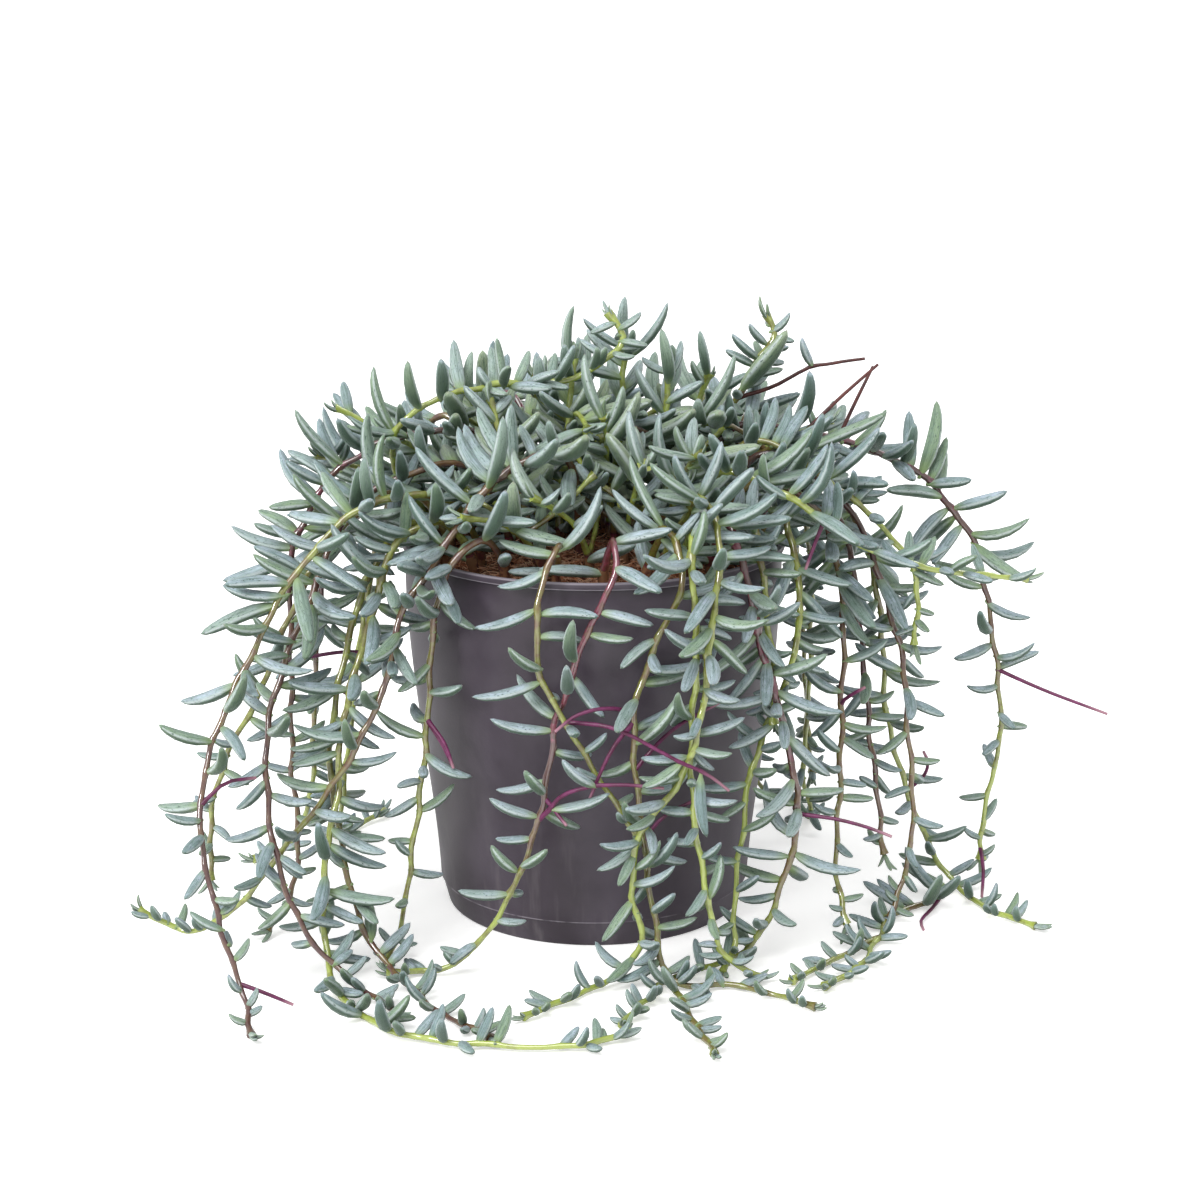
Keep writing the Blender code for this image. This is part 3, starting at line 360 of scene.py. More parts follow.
LEAF_WIDTHS = [(0.0, 0.26), (0.05, 0.34), (0.14, 0.66), (0.28, 0.92), (0.45, 1.0), (0.62, 0.96), (0.78, 0.82),
               (0.89, 0.6), (0.96, 0.36), (1.0, 0.0)]
FINE_POT_SIDES = 144
FINE_SOIL_SIDES = 120
SOIL_RINGS_FINE = 60
SOIL_WAVES = [(18.0, 0.28), (7.0, 0.16), (3.4, 0.09)]
RINGS_GATHERED = 0.09
LAYOUT_VALUES = ("thick", "along", "ripeness", "stalk", "leaf", "out", "up", "length", "width", "bow",
                 "sway", "shade", "age", "shelter")
LAYOUT_VECTORS = ("out", "up")

# Leaves of the heap, given one by one: root, tip, thickness, bow (up like a fishhook, or below zero down) and
# age.
# Each is moved to or from the camera until a stem is in reach of its root and it clears what is already there
DEPTH_SHIFTS = (0, -2, 2, -4, 4, -6, 6, -8, 8, -10, 10, -12, 12, -14, 14, -16, 16, -19, 19)
ROOT_REACH = 9.0
PLACED_LEAVES = [
    (-6, 10, 212, -9, 8, 241, 2.3, 0.15), (7, 12, 222, 12, 10, 244, 2.4, 0.1),
    (21, 12, 218, 30, 8, 241, 2.3, 0.2), (6, 14, 224, -5, 14, 234, 2.0, 0.1),
    (19, 16, 223, 13, 14, 234, 1.8, 0.1, 0.3), (-37, 8, 213, -39, 8, 228, 2.0, 0.1),
    (-41, 6, 212, -46, 4, 217, 2.2, 0.1), (-58, 4, 208, -57, 4, 217, 1.8, 0.1),
    (5, -6, 203, -5, -10, 224, 2.6, 0.15), (29, -6, 200, 15, -12, 220, 2.6, 0.15),
    (51, 14, 215, 41, 12, 230, 2.2, 0.15), (61, 16, 220, 54, 14, 228, 2.2, 0.1),
    (66, 18, 225, 61, 16, 232, 2.0, 0.1, 0.4), (56, 18, 205, 77, 6, 230, 3.9, 0.05, 1.0),
    (74, 20, 228, 82, 18, 236, 2.0, 0.15, 0.4), (88, 20, 212, 82, 20, 226, 2.0, 0.15),
    (27, 10, 215, 31, 8, 225, 2.2, 0.1), (35, 10, 212, 35, 8, 227, 2.0, 0.1),
    (38, 8, 211, 38, 8, 219, 2.0, 0.1), (40, -8, 200, 56, -12, 224, 2.6, 0.15),
    (30, -4, 204, 43, -8, 213, 2.6, -0.1), (-15, 8, 213, -7, 6, 225, 2.3, 0.1),
    (-78, -14, 195, -86, -16, 220, 2.6, 0.25), (-98, -18, 185, -116, -22, 204, 2.6, 0.15),
    (-104, -26, 178, -119, -30, 186, 2.6, 0.05), (-97, -38, 166, -115, -42, 183, 2.7, 0.12),
    (-111, -30, 172, -125, -32, 168, 2.6, -0.15), (-119, -40, 161, -130, -42, 164, 2.4, 0.05),
    (-83, -30, 176, -81, -34, 197, 2.7, 0.35), (-81, -60, 148, -99, -62, 168, 3.0, 0.15),
    (-84, -64, 147, -112, -66, 156, 3.0, 0.08), (-105, -52, 144, -129, -56, 155, 2.8, 0.1),
    (-66, -68, 149, -85, -70, 158, 2.9, 0.1), (-59, -58, 162, -70, -60, 179, 2.6, 0.08),
    (-48, -48, 175, -68, -50, 195, 2.9, 0.1), (-68, -56, 159, -86, -56, 170, 3.0, 0.45),
    (-85, -14, 192, -99, -18, 196, 2.4, 0.1), (-26, -38, 191, -60, -42, 187, 4.0, -0.2, 1.0),
    (-9, -36, 200, -26, -44, 190, 2.7, -0.25), (1, -44, 193, -17, -48, 192, 2.8, -0.25),
    (9, -46, 189, -6, -48, 188, 3.2, -0.2, 1.0), (4, -56, 173, -22, -60, 174, 3.0, -0.2, 0.6),
    (1, -50, 184, -16, -54, 179, 3.0, -0.3, 0.8), (-29, -58, 169, -9, -66, 162, 3.1, -0.12, 0.6),
    (-30, -62, 167, -48, -62, 171, 2.8, -0.1, 0.6), (-33, -54, 186, -23, -60, 179, 2.7, -0.4, 0.3),
    (-38, -56, 178, -52, -62, 171, 2.8, -0.15, 0.4), (-33, -40, 189, -32, -42, 211, 2.8, 0.1),
    (-42, -46, 182, -33, -48, 206, 3.0, 0.2), (-38, -20, 201, -44, -22, 215, 2.5, 0.1),
    (-31, -10, 205, -16, -14, 211, 3.0, -0.1), (0, -22, 201, 23, -26, 208, 4.0, -0.15, 1.0),
    (-26, -24, 204, -12, -28, 204, 4.0, -0.2, 1.0), (16, -40, 187, 14, -44, 203, 3.6, 0.1, 1.0),
    (13, -46, 192, 12, -46, 209, 2.4, 0.1, 0.3), (21, -60, 172, 6, -64, 182, 2.4, 0.1),
    (21, -60, 174, 8, -62, 195, 2.5, 0.1), (22, -58, 173, 12, -60, 194, 2.4, 0.1),
    (19, -64, 172, -3, -70, 163, 2.8, -0.25), (16, -66, 171, 12, -70, 160, 2.4, 0.1),
    (41, -56, 176, 20, -66, 192, 2.5, 0.1, 0.4), (39, -60, 179, 22, -68, 181, 2.3, -0.1, 0.4),
    (32, -64, 179, 23, -68, 175, 2.2, 0.1, 0.4), (36, -52, 185, 20, -58, 197, 2.2, 0.1, 0.3),
    (44, -54, 175, 49, -56, 199, 2.6, 0.1), (40, -44, 186, 41, -46, 200, 2.2, 0.1, 0.3),
    (30, -46, 190, 30, -46, 203, 2.3, 0.1, 0.1), (53, -50, 177, 73, -54, 196, 2.7, 0.15),
    (67, -54, 169, 83, -56, 183, 2.5, 0.1), (64, -58, 164, 60, -60, 187, 2.7, 0.1),
    (61, -60, 166, 53, -62, 178, 2.3, 0.1), (38, -68, 157, 42, -70, 176, 2.6, 0.1),
    (50, -66, 160, 42, -70, 175, 2.4, 0.1), (34, -68, 159, 23, -72, 173, 2.5, 0.1),
    (85, -10, 189, 115, -10, 200, 2.7, -0.1), (91, -24, 180, 111, -26, 198, 2.8, 0.1),
    (76, -32, 177, 90, -34, 193, 2.7, 0.1), (111, -10, 185, 120, -10, 195, 2.5, 0.1),
    (143, 10, 175, 137, 6, 188, 2.6, 0.3), (147, 8, 174, 163, 6, 184, 2.5, 0.1),
    (132, 4, 169, 150, 0, 172, 2.8, -0.1), (147, 0, 164, 164, -4, 168, 2.8, -0.05),
]
# In front of the pot, where only the root and the tip's x and z differ
PLACED_LEAVES += [(x, y, z, tip_x, y - 6, tip_z, 2.5, 0.15) for x, y, z, tip_x, tip_z in [
    (45, -76, 123, 26, 133), (56, -78, 131, 38, 114), (59, -70, 131, 41, 135), (59, -70, 132, 77, 142),
    (65, -72, 105, 43, 103), (38, -76, 110, 54, 106), (58, -74, 122, 49, 103), (53, -74, 88, 39, 84),
    (67, -72, 95, 51, 86), (34, -78, 85, 18, 84), (34, -78, 83, 19, 73), (41, -76, 79, 42, 54),
    (39, -76, 63, 24, 64), (57, -74, 72, 39, 71), (55, -70, 77, 69, 77), (59, -68, 85, 71, 87),
    (76, -66, 61, 60, 68), (69, -68, 52, 55, 52), (72, -66, 40, 53, 44), (42, -74, 48, 50, 35),
    (45, -72, 26, 49, 44)]]
PLACED_LEAVES += [(x, y, z, tip_x, y - 5, tip_z, 2.5, 0.2) for x, y, z, tip_x, tip_z in [
    (-21, -84, 114, -44, 109), (-12, -86, 96, -38, 101), (-24, -84, 92, -6, 89), (0, -84, 80, -12, 85),
    (-23, -82, 62, -39, 69), (-10, -80, 58, 6, 70), (-9, -80, 53, 12, 59), (-8, -84, 118, 3, 102),
    (-20, -82, 69, -26, 80), (-29, -80, 39, -39, 50), (-23, -82, 143, -43, 135), (-25, -76, 27, -51, 30)]]

# More thin stalks than the solid plant has
EXTRA_STALKS = [
    ("front_stem_3", [(14, -87, 98), (8, -90, 92), (3, -92, 83), (-2, -92, 70)]),
    ("front_stem_3", [(18, -88, 83), (27, -86, 94), (35, -84, 100), (48, -80, 106)]),
    ("front_stem_2", [(-18, -88, 69), (-14, -91, 65), (-10, -94, 62)]),
    ("front_stem_3", [(20, -92, 57), (27, -90, 65), (40, -88, 71)]),
    ("left_stem_8", [(-62, -66, 93), (-56, -70, 86), (-53, -72, 77)]),
    ("left_stem_8", [(-63, -64, 92), (-57, -68, 84), (-53, -70, 76)]),
    ("left_stem_1", [(-143, -102, 75), (-135, -98, 81), (-125, -92, 80)]),
    ("left_stem_7", [(-113, -66, 110), (-102, -62, 104), (-92, -58, 102)]),
    ("left_stem_2", [(-117, -40, 106), (-103, -44, 112), (-90, -46, 115), (-72, -46, 113)]),
    ("right_stem_2", [(96, -36, 91), (98, -40, 95), (105, -42, 100)]),
    ("right_stem_5", [(131, 8, 41), (137, 4, 49), (137, 2, 55), (134, 0, 60)]),
    ("right_stem_6", [(156, -4, 16), (158, -8, 10), (158, -13, 2)]),
    ("right_stem_5", [(146, -8, 2), (138, -26, 2), (131, -39, 2), (130, -48, 2)]),
]

# Stem colours along the ripeness scale, and each stem's ripeness at its root, at its tip and where it turns
STEM_COLOURS = [(0.0, (0.36, 0.44, 0.075)), (0.22, (0.18, 0.18, 0.03)), (0.4, (0.15, 0.085, 0.028)),
                (0.54, (0.105, 0.04, 0.026)), (0.68, (0.07, 0.018, 0.018)), (0.8, (0.20, 0.03, 0.062)),
                (0.92, (0.10, 0.03, 0.025)), (1.0, (0.24, 0.12, 0.06))]
STEM_FULLNESS = (1.1, 1.32)
FULLNESS_PLACES = (0.4, 0.95)
HEAP_STEM_RIPENESS = (0.0, 0.6)
BACK_STEM_RIPENESS = (0.3, 0.8)
TIP_RIPENESS = (0.0, 0.2)
RIPENESS_TURN = (0.3, 0.7)
RIPENESS_BLEND = 0.5
STEM_TINTS = numbered(
    left_stem=[(0.22, 0.6, 0.55), (0.32, 0.2, 0.5), (0.68, 0.45, 0.65), (0.5, 0.58, 0.5), (0.5, 0.03, 0.74),
               (0.22, 0.0, 0.5), (0.18, 0.52, 0.65), (0.5, 0.18, 0.44)],
    front_stem=[(0.46, 0.22, 0.44), (0.84, 0.06, 0.64), (0.3, 0.22, 0.8), (0.1, 0.0, 0.5), (0.2, 0.0, 0.5),
                (0.76, 0.0, 0.58)],
    right_stem=[(0.3, 0.0, 0.35), (0.44, 0.12, 0.85), (0.66, 0.4, 0.85), (0.62, 0.4, 0.6), (0.3, 0.05, 0.5),
                (0.7, 0.02, 0.72), (0.15, 0.0, 0.5)],
)
STEM_TINTS["crown_runner"] = (0.1, 0.0, 0.5)
OTHER_STEM_TINT = (0.3, 0.03, 0.6)

# Colours, as linear red, green, blue
LEAF_PALE = (0.335, 0.42, 0.425)
LEAF_DEEP = (0.165, 0.255, 0.24)
LEAF_GREEN = (0.22, 0.325, 0.145)
LEAF_OLD = (0.30, 0.385, 0.22)
# Painted fill light, lighter and greener, for leaves inside the heap
LEAF_HEAP_FILL_LIGHT = (0.42, 0.54, 0.44)
# Painted highlight along the leaf's edges
LEAF_EDGE_HIGHLIGHT = (0.66, 0.74, 0.75)
LEAF_SHEEN = (0.75, 0.86, 0.9)
LEAF_YOUNG = (0.30, 0.40, 0.22)
# Wax bloom, also laid on upward faces where it is partly painted light from above
LEAF_BLOOM_AND_TOP_LIGHT = (0.45, 0.54, 0.625)
LEAF_VEIN = (0.085, 0.14, 0.105)
# Painted shade on downward faces, partly the leaf's own greener underside
LEAF_UNDER_SHADE = (0.05, 0.09, 0.052)
LEAF_WINDOW = (0.05, 0.11, 0.08)
LEAF_DASH = (0.05, 0.085, 0.075)
LEAF_ROOT = (0.27, 0.38, 0.13)
LEAF_TIP = (0.42, 0.36, 0.30)
LEAF_SCUFF = (0.56, 0.61, 0.53)
STEM_FLECK = (0.16, 0.07, 0.05)
STALK_DARK = (0.09, 0.012, 0.045)
STALK_BRIGHT = (0.18, 0.028, 0.11)
STALK_TIP = (0.36, 0.18, 0.23)
DRY_DARK = (0.05, 0.012, 0.012)
DRY_BROWN = (0.12, 0.03, 0.025)
POT_DARK = (0.038, 0.027, 0.039)
POT_LIGHT = (0.094, 0.077, 0.101)
# Painted shadow colour under the lip
POT_SHADED = (0.03, 0.022, 0.03)
POT_DUST = (0.20, 0.18, 0.19)
# Painted highlight for the lip's edges and the seam
POT_EDGE_HIGHLIGHT = (0.30, 0.27, 0.31)
COIR_DARK = (0.085, 0.028, 0.014)
COIR_LIGHT = (0.42, 0.155, 0.075)
COIR_CRUMB = (0.50, 0.21, 0.11)
COIR_FIBRE = (0.90, 0.62, 0.44)
COIR_FLECK = (0.34, 0.17, 0.10)
FLOOR_COLOUR = (0.93, 0.93, 0.93)
FLOOR_COLOUR_WARM = (0.94, 0.935, 0.93)
FLOOR_GLOW = 0.46

# Camera and light, in metres and watts
CAMERA_PLACE = (0.0024, -1.0, 0.388)
CAMERA_TILT = 0.2583
CAMERA_LENS = 77.5
WORLD_LIGHT = 0.68
FLOOR_CORNERS = [(-9000, -9000, 0), (9000, -9000, 0), (9000, 30000, 0), (-9000, 30000, 0)]
# Lamps: name, kind, power, size with its setting's name, place, and the height that they point at
LAMPS = [("soft_sun", "SUN", 1.9, "angle", math.radians(44.0), (-0.45, -0.75, 1.5), 0.0),
         ("key_light", "AREA", 8.0, "size", 0.3, (-0.9, -1.0, 0.8), 0.12),
         ("rim_light", "AREA", 2.5, "size", 0.4, (0.7, 0.7, 0.9), 0.12)]


def unit(vector):
    """The vector at length one."""
    return vector / max(np.linalg.norm(vector), 1e-9)


def square_to(out):
    """The way square to this direction that is nearest to straight up."""
    return unit(UP - out[2] * out)


def between(place, low, high, first, second):
    """The point between two, where the place stands from low to high."""
    return (high - place) / (high - low) * first + (place - low) / (high - low) * second


def smooth_path(points):
    """Points every PATH_STEP along a centripetal curve through the given ones."""
    given = np.array(points, float)
    knots = np.concatenate([[2 * given[0] - given[1]], given, [2 * given[-1] - given[-2]]])
    curve = []
    for k in range(len(knots) - 3):
        near = knots[k:k + 4]
        times = np.cumsum([0.0] + [np.linalg.norm(b - a) ** 0.5 for a, b in zip(near, near[1:])])
        place = np.linspace(times[1], times[2], CURVE_SAMPLES, endpoint=False)[:, None]
        lines = [between(place, times[i], times[i + 1], near[i], near[i + 1]) for i in range(3)]
        bends = [between(place, times[i], times[i + 2], lines[i], lines[i + 1]) for i in range(2)]
        curve.append(between(place, times[1], times[2], *bends))
    return even_points(np.concatenate([*curve, given[-1:]]))


def arc_lengths(points):
    """How far along the line each point lies."""
    steps = np.linalg.norm(np.diff(points, axis=0), axis=1)
    return np.concatenate([[0.0], np.cumsum(steps)])


def even_places(length, step):
    """Distances from nothing to the length, about a step apart."""
    return np.linspace(0, length, max(int(length / step), 2) + 1)


def points_at(path, along, places):
    """The points this far along a path."""
    return np.stack([np.interp(places, along, path[:, axis]) for axis in range(3)], -1)


def even_points(curve):
    """The same line with its points PATH_STEP apart."""
    along = arc_lengths(curve)
    return points_at(curve, along, even_places(along[-1], PATH_STEP))


def simplified(points, rooted):
    """Which points a line needs to stay near the full one. A rooted line keeps its straight foot."""
    first, last = ROOT_POINTS - 1 if rooted else 0, len(points) - 1
    keep = {0, first, last}
    spans = [(first, last)]
    while spans:
        first, last = spans.pop()
        if last - first < 2:
            continue
        chord = points[last] - points[first]
        run = points[first:last + 1] - points[first]
        share = np.clip(run @ chord / (chord @ chord), 0, 1)
        off = np.linalg.norm(run - share[:, None] * chord, axis=1)
        worst = int(off.argmax())
        if off[worst] > STRAIGHTNESS:
            keep.add(first + worst)
            spans += [(first, first + worst), (first + worst, last)]
    return sorted(keep)


def heaped(share, ripple):
    """The height of the heaped soil at this share of the way out to the wall."""
    return SOIL_EDGE_HEIGHT + SOIL_RISE * (1 - share ** 2) + ripple * (1 - share)


def soil_height(x, y):
    """The soil's surface, gently heaped to the middle and uneven."""
    ripple = SOIL_RIPPLE * math.sin(0.13 * x + 1.0) * math.cos(0.11 * y - 0.4)
    return heaped(math.hypot(x, y) / TOP_RADIUS, ripple)


def wall_push(points, clearance):
    """How far each point is inside its clearance from the pot's wall, as a vector that moves it out."""
    reach = np.hypot(points[:, 0], points[:, 1])
    flat = np.stack([reach, points[:, 2]], 1)
    best = np.full(len(points), np.inf)
    away = np.zeros((len(points), 2))
    for (r0, z0, w0), (r1, z1, w1) in zip(WALL_CHAIN, WALL_CHAIN[1:]):
        start, run = np.array([r0, z0]), np.array([r1 - r0, z1 - z0])
        share = np.clip((flat - start) @ run / (run @ run), 0, 1)
        offset = flat - start - share[:, None] * run
        distance = np.linalg.norm(offset, axis=1)
        gap = distance - (w0 + share * (w1 - w0))
        nearer = gap < best
        best[nearer] = gap[nearer]
        away[nearer] = offset[nearer] / np.maximum(distance[nearer], 1e-6)[:, None]
    short = np.maximum(clearance - best, 0)
    outward = points[:, :2] / np.maximum(reach, 1e-6)[:, None]
    return np.concatenate([outward * (short * away[:, 0])[:, None], (short * away[:, 1])[:, None]], 1)


def ground_lift(points, radius):
    """How far each point must rise to lie on the surface or clear of the soil."""
    lift = np.maximum(radius + FLOOR_CLEARANCE - points[:, 2], 0)
    reach = np.hypot(points[:, 0], points[:, 1])
    over_soil = (reach < LIP_RADIUS) & (points[:, 2] > HOLE_BOTTOM)
    wanted = heaped(np.minimum(reach / TOP_RADIUS, 1), SOIL_RIPPLE) + radius + GAP
    return np.where(over_soil, np.maximum(wanted - points[:, 2], 0), lift)


def line_offsets(points, starts, ends):
    """For each point, the shortest vector to it from each of the lines."""
    run = ends - starts
    square = np.maximum((run ** 2).sum(1), 1e-9)
    share = ((points[:, None] - starts) * run).sum(2) / square
    return points[:, None] - starts - np.clip(share, 0, 1)[:, :, None] * run


def clear_path(path, radius, starts, ends, fixed):
    """The path bent clear of the stems already placed, of the pot, the soil and the surface below."""
    path = path.copy()
    for _ in range(BEND_ROUNDS):
        push = wall_push(path, radius + STEM_CLEARANCE)
        push[:, 2] += ground_lift(path, radius)
        if len(starts):
            offsets = line_offsets(path, starts, ends)
            distance = np.linalg.norm(offsets, axis=2)
            nearest = distance.argmin(1)
            rows = np.arange(len(path))
            short = 2 * STEM_RADIUS + STEM_CLEARANCE - distance[rows, nearest]
            towards = offsets[rows, nearest] + BEND_UPWARD * UP
            towards /= np.maximum(np.linalg.norm(towards, axis=1), 1e-6)[:, None]
            push += np.maximum(short, 0)[:, None] * towards
        push[:fixed] = 0
        if np.abs(push).max() < BENT_ENOUGH:
            break
        for _ in range(2):
            spread = push.copy()
            spread[1:-1] = 0.5 * push[1:-1] + 0.25 * (push[:-2] + push[2:])
            push = np.where(np.abs(spread) > np.abs(push), spread, 0.5 * (push + spread))
            push[:fixed] = 0
        path += BEND_SHARE * push
    return path


def stem_radii(path, thick, thin):
    """A radius for each point, thinning to the tip."""
    share = arc_lengths(path) / arc_lengths(path)[-1]
    return thick + (thin - thick) * share ** STEM_THINNING


def grown(kind, route, thick, thin, fixed, space, others):
    """A stem along a route, bent clear of the other lines: its kind, its path and its radii."""
    path = clear_path(smooth_path(route), thick, space.starts[others], space.ends[others], fixed)
    path = even_points(path)
    return kind, path, stem_radii(path, thick, thin)


def rooted_route(route):
    """A route with its root standing straight up out of its hole in the soil."""
    x, y = route[0]
    surface = soil_height(x, y)
    foot = [(x, y, HOLE_BOTTOM + GAP), (x, y, surface - ROOT_DEPTH), (x, y, surface + ROOT_RISE)]
    return foot + list(route[1:])


def joined_route(parts, route):
    """The route moved, most at its start, so that it begins on the middle of the stem it grows from."""
    wanted = np.array(route[0], float)
    points = np.concatenate([path for kind, path, _ in parts if kind != "stalk"])
    shift = points[np.linalg.norm(points - wanted, axis=1).argmin()] - wanted
    fade = np.linspace(1, 0, len(route))[:, None]
    return np.array(route, float) + shift * fade


def back_routes():
    """The far side's stems, evenly round it, each a little different."""
    rng = np.random.default_rng(SEED)
    routes = []
    for k in range(BACK_STEMS):
        angle = math.radians(BACK_FIRST_ANGLE + BACK_ANGLE_STEP * k)
        root = BACK_ROOT_RADII[k % 2]
        lean = angle + rng.uniform(*BACK_LEAN)
        sway = rng.uniform(*BACK_SWAY)
        spread = rng.uniform(*BACK_SPREAD)
        top = BACK_TOPS[k % 2] + rng.uniform(*BACK_TOP_SPREAD)
        profile = [(root + BACK_BEND_REACH, 0, top), (BACK_RIM_REACH + spread, 0.1, top - BACK_RIM_DROP)]
        profile += [(reach + spread, share, height) for reach, share, height in BACK_FALL + BACK_ENDS[k % 3]]
        routes.append([(root * math.cos(angle), root * math.sin(angle))])
        for reach, share, height in profile:
            turned = lean + sway * share
            routes[-1].append((reach * math.cos(turned), reach * math.sin(turned), height))
    return routes


def grow_stems():
    """Every stem with its branches, bent clear of each other: name, and a list of (kind, path, radii)."""
    routes = STEMS | numbered(back_stem=back_routes(), crown_shoot=CROWN_SHOOTS)
    plants = {name: [] for name in routes}
    space = Space()

    def place(name, kind, route, thick, thin, fixed):
        owner = list(plants).index(name)
        part = grown(kind, route, thick, thin, fixed, space, space.owners != owner)
        plants[name].append(part)
        space.add(part[1], part[2], owner, STEM_PIECE)

    for name, route in routes.items():
        place(name, "stem", rooted_route(route), STEM_RADIUS, TIP_RADIUS, ROOT_POINTS)
    for name, route in SIDE_SHOOTS:
        place(name, "shoot", joined_route(plants[name], route), SHOOT_RADIUS, TIP_RADIUS, SHOOT_ROOT_POINTS)
    for name, route in STALKS:
        place(name, "stalk", joined_route(plants[name], route), STALK_RADIUS, STALK_TIP_RADIUS,
              SHOOT_ROOT_POINTS)
    return plants


class Space:
    """The stems and leaves placed so far, as round-ended lines that a new leaf must clear."""

    def __init__(self):
        self.starts = np.empty((0, 3))
        self.ends = np.empty((0, 3))
        self.radii = np.empty(0)
        self.owners = np.empty(0, int)
        self.kinds = np.empty(0, int)
        self.filling = False

    def add(self, points, radii, owner, kinds):
        """Adds a line's pieces, each with the larger radius of its two ends."""
        count = len(points) - 1
        self.starts = np.concatenate([self.starts, points[:-1]])
        self.ends = np.concatenate([self.ends, points[1:]])
        self.radii = np.concatenate([self.radii, np.maximum(radii[:-1], radii[1:])])
        self.owners = np.concatenate([self.owners, np.full(count, owner)])
        self.kinds = np.concatenate([self.kinds, np.broadcast_to(kinds, count)])

    def add_stems(self, owner, parts):
        """Adds a plant's stems, with only the points that they need."""
        for kind, path, radii in parts:
            keep = simplified(path, kind == "stem")
            self.add(path[keep], radii[keep] * CORNER_SPREAD + STEM_MARGIN, owner, STEM_PIECE)

    def start_filling(self):
        """From now on leaves may come closer to each other."""
        self.filling = True
        self.radii[self.kinds != STEM_PIECE] *= FILL_SPREAD

    def gaps(self, start, end):
        """The distance from one line to each line placed."""
        d1, d2 = end - start, self.ends - self.starts
        away = start - self.starts
        a, e = d1 @ d1, np.maximum((d2 ** 2).sum(1), 1e-9)
        b, c, f = d2 @ d1, away @ d1, (d2 * away).sum(1)
        s = np.clip((b * f - c * e) / np.maximum(a * e - b * b, 1e-9), 0, 1)
        t = np.clip((b * s + f) / e, 0, 1)
        s = np.clip((b * t - c) / a, 0, 1)
        return np.linalg.norm(away + s[:, None] * d1 - t[:, None] * d2, axis=1)

    def clears(self, points, radii, owner):
        """Whether a leaf along these points clears the rest. Its root may meet its own stem."""
        own = self.owners == owner
        for i in range(len(points) - 1):
            needed = max(radii[i], radii[i + 1]) + self.radii + LEAF_CLEARANCE
            needed[own & (self.kinds == STEM_PIECE)] *= OWN_STEM_SHARE
            checked = ~own | (self.kinds != ROOT_PIECE) if i else ~own
            if (self.gaps(points[i], points[i + 1]) < needed)[checked].any():
                return False
        return True

    def takes(self, leaf, owner):
        """Adds the leaf, if it clears the pot, the soil, the surface below and everything placed."""
        points = leaf_spine(leaf)
        radii = leaf["radius"] * LEAF_CORNER_SPREAD * STATION_WIDTHS
        radii = FILL_SPREAD * radii if self.filling else radii
        blade = np.concatenate([a + BLADE_SHARES * (b - a) for a, b in zip(points, points[1:])])
        if np.abs(wall_push(blade, radii.max() + LEAF_CLEARANCE)).max() > 0:
            return False
        if ground_lift(blade[1:], radii.max()).max() > 0 or not self.clears(points, radii, owner):
            return False
        self.add(points, radii, owner, [ROOT_PIECE, BLADE_PIECE, BLADE_PIECE])
        return True


def leaf_spine(leaf):
    """The points of a leaf's curved middle line at its stations."""
    share = LEAF_STATIONS[:, None]
    bow = leaf["bow"] * (share ** 2 - BOW_DIP * share)
    return leaf["root"] + leaf["length"] * (share * leaf["out"] + bow * leaf["up"])


def leaf_direction(rng, tangent, place, side, upright, spin, growth, attempt):
    """The way a leaf points: round an upright tip, to the sides of a lying stem, across a hanging one."""
    wide = 1 + WIDEN_PER_TRY * attempt
    if upright:
        azimuth = spin + rng.normal(0, AIM_SPREAD * wide)
        rise = rng.uniform(*(UPRIGHT_RISE if growth == 1 else YOUNG_RISE))
    elif abs(tangent[2]) < STEEP:
        across = math.atan2(tangent[1], tangent[0]) + side * math.pi / 2
        azimuth = across - side * rng.uniform(*FORWARD_LEAN) + rng.normal(0, AIM_SPREAD * wide)
        resting = place[2] > CROWN_FLOOR or place[2] < LYING_HEIGHT
        rise = rng.uniform(*(LYING_RISE if resting else LOOSE_RISE))
    else:
        facing = math.atan2(place[1], place[0])
        across = 0.0 if place[1] < FRONT_LINE else facing + math.pi / 2
        azimuth = across + (0 if side > 0 else math.pi) + rng.normal(0, HANGING_SPREAD * wide)
        rise = rng.uniform(*HANGING_RISE)
    return np.array([math.cos(azimuth) * math.cos(rise), math.sin(azimuth) * math.cos(rise), math.sin(rise)])


def new_leaf(rng, root, tangent, side, upright, spin, growth, attempt):
    """One leaf with its size, its direction and its bow, up like a fishhook or now and then down."""
    crown = root[2] > CROWN_FLOOR
    length = rng.uniform(*(CROWN_LEAF_LENGTH if crown else TRAILING_LEAF_LENGTH)) * growth
    length = length * (1 - SHRINK_PER_TRY * attempt)
    out = leaf_direction(rng, tangent, root, side, upright, spin, growth, attempt)
    bow = rng.uniform(*LEAF_BOW)
    if rng.random() < (CROWN_ARCHED_SHARE if crown else TRAILING_ARCHED_SHARE):
        bow = -ARCHED_BOW * bow
    return {"root": root - LEAF_SINK * out, "out": out, "up": square_to(out), "bow": bow, "length": length,
            "radius": LEAF_BASE_RADIUS + LEAF_SLIMNESS * length}


def fitted_leaf(space, root, tangent, growth, upright, key):
    """The first try at a leaf from this root that fits, or nothing. The key is its owner, part and number."""
    owner, part, number = key
    turn = number // 2 if root[2] > CROWN_FLOOR else number
    side = 1 if turn % 2 else -1
    rng = np.random.default_rng([SEED, owner, part, number])
    for attempt in range(FILL_TRIES if space.filling else LEAF_TRIES):
        leaf = new_leaf(rng, root, tangent, side, upright, number * GOLDEN_ANGLE, growth, attempt)
        if space.filling:
            lay_down(leaf)
        if abs(leaf["out"] @ tangent) <= MOST_ALONG_STEM and space.takes(leaf, owner):
            return leaf
    return None


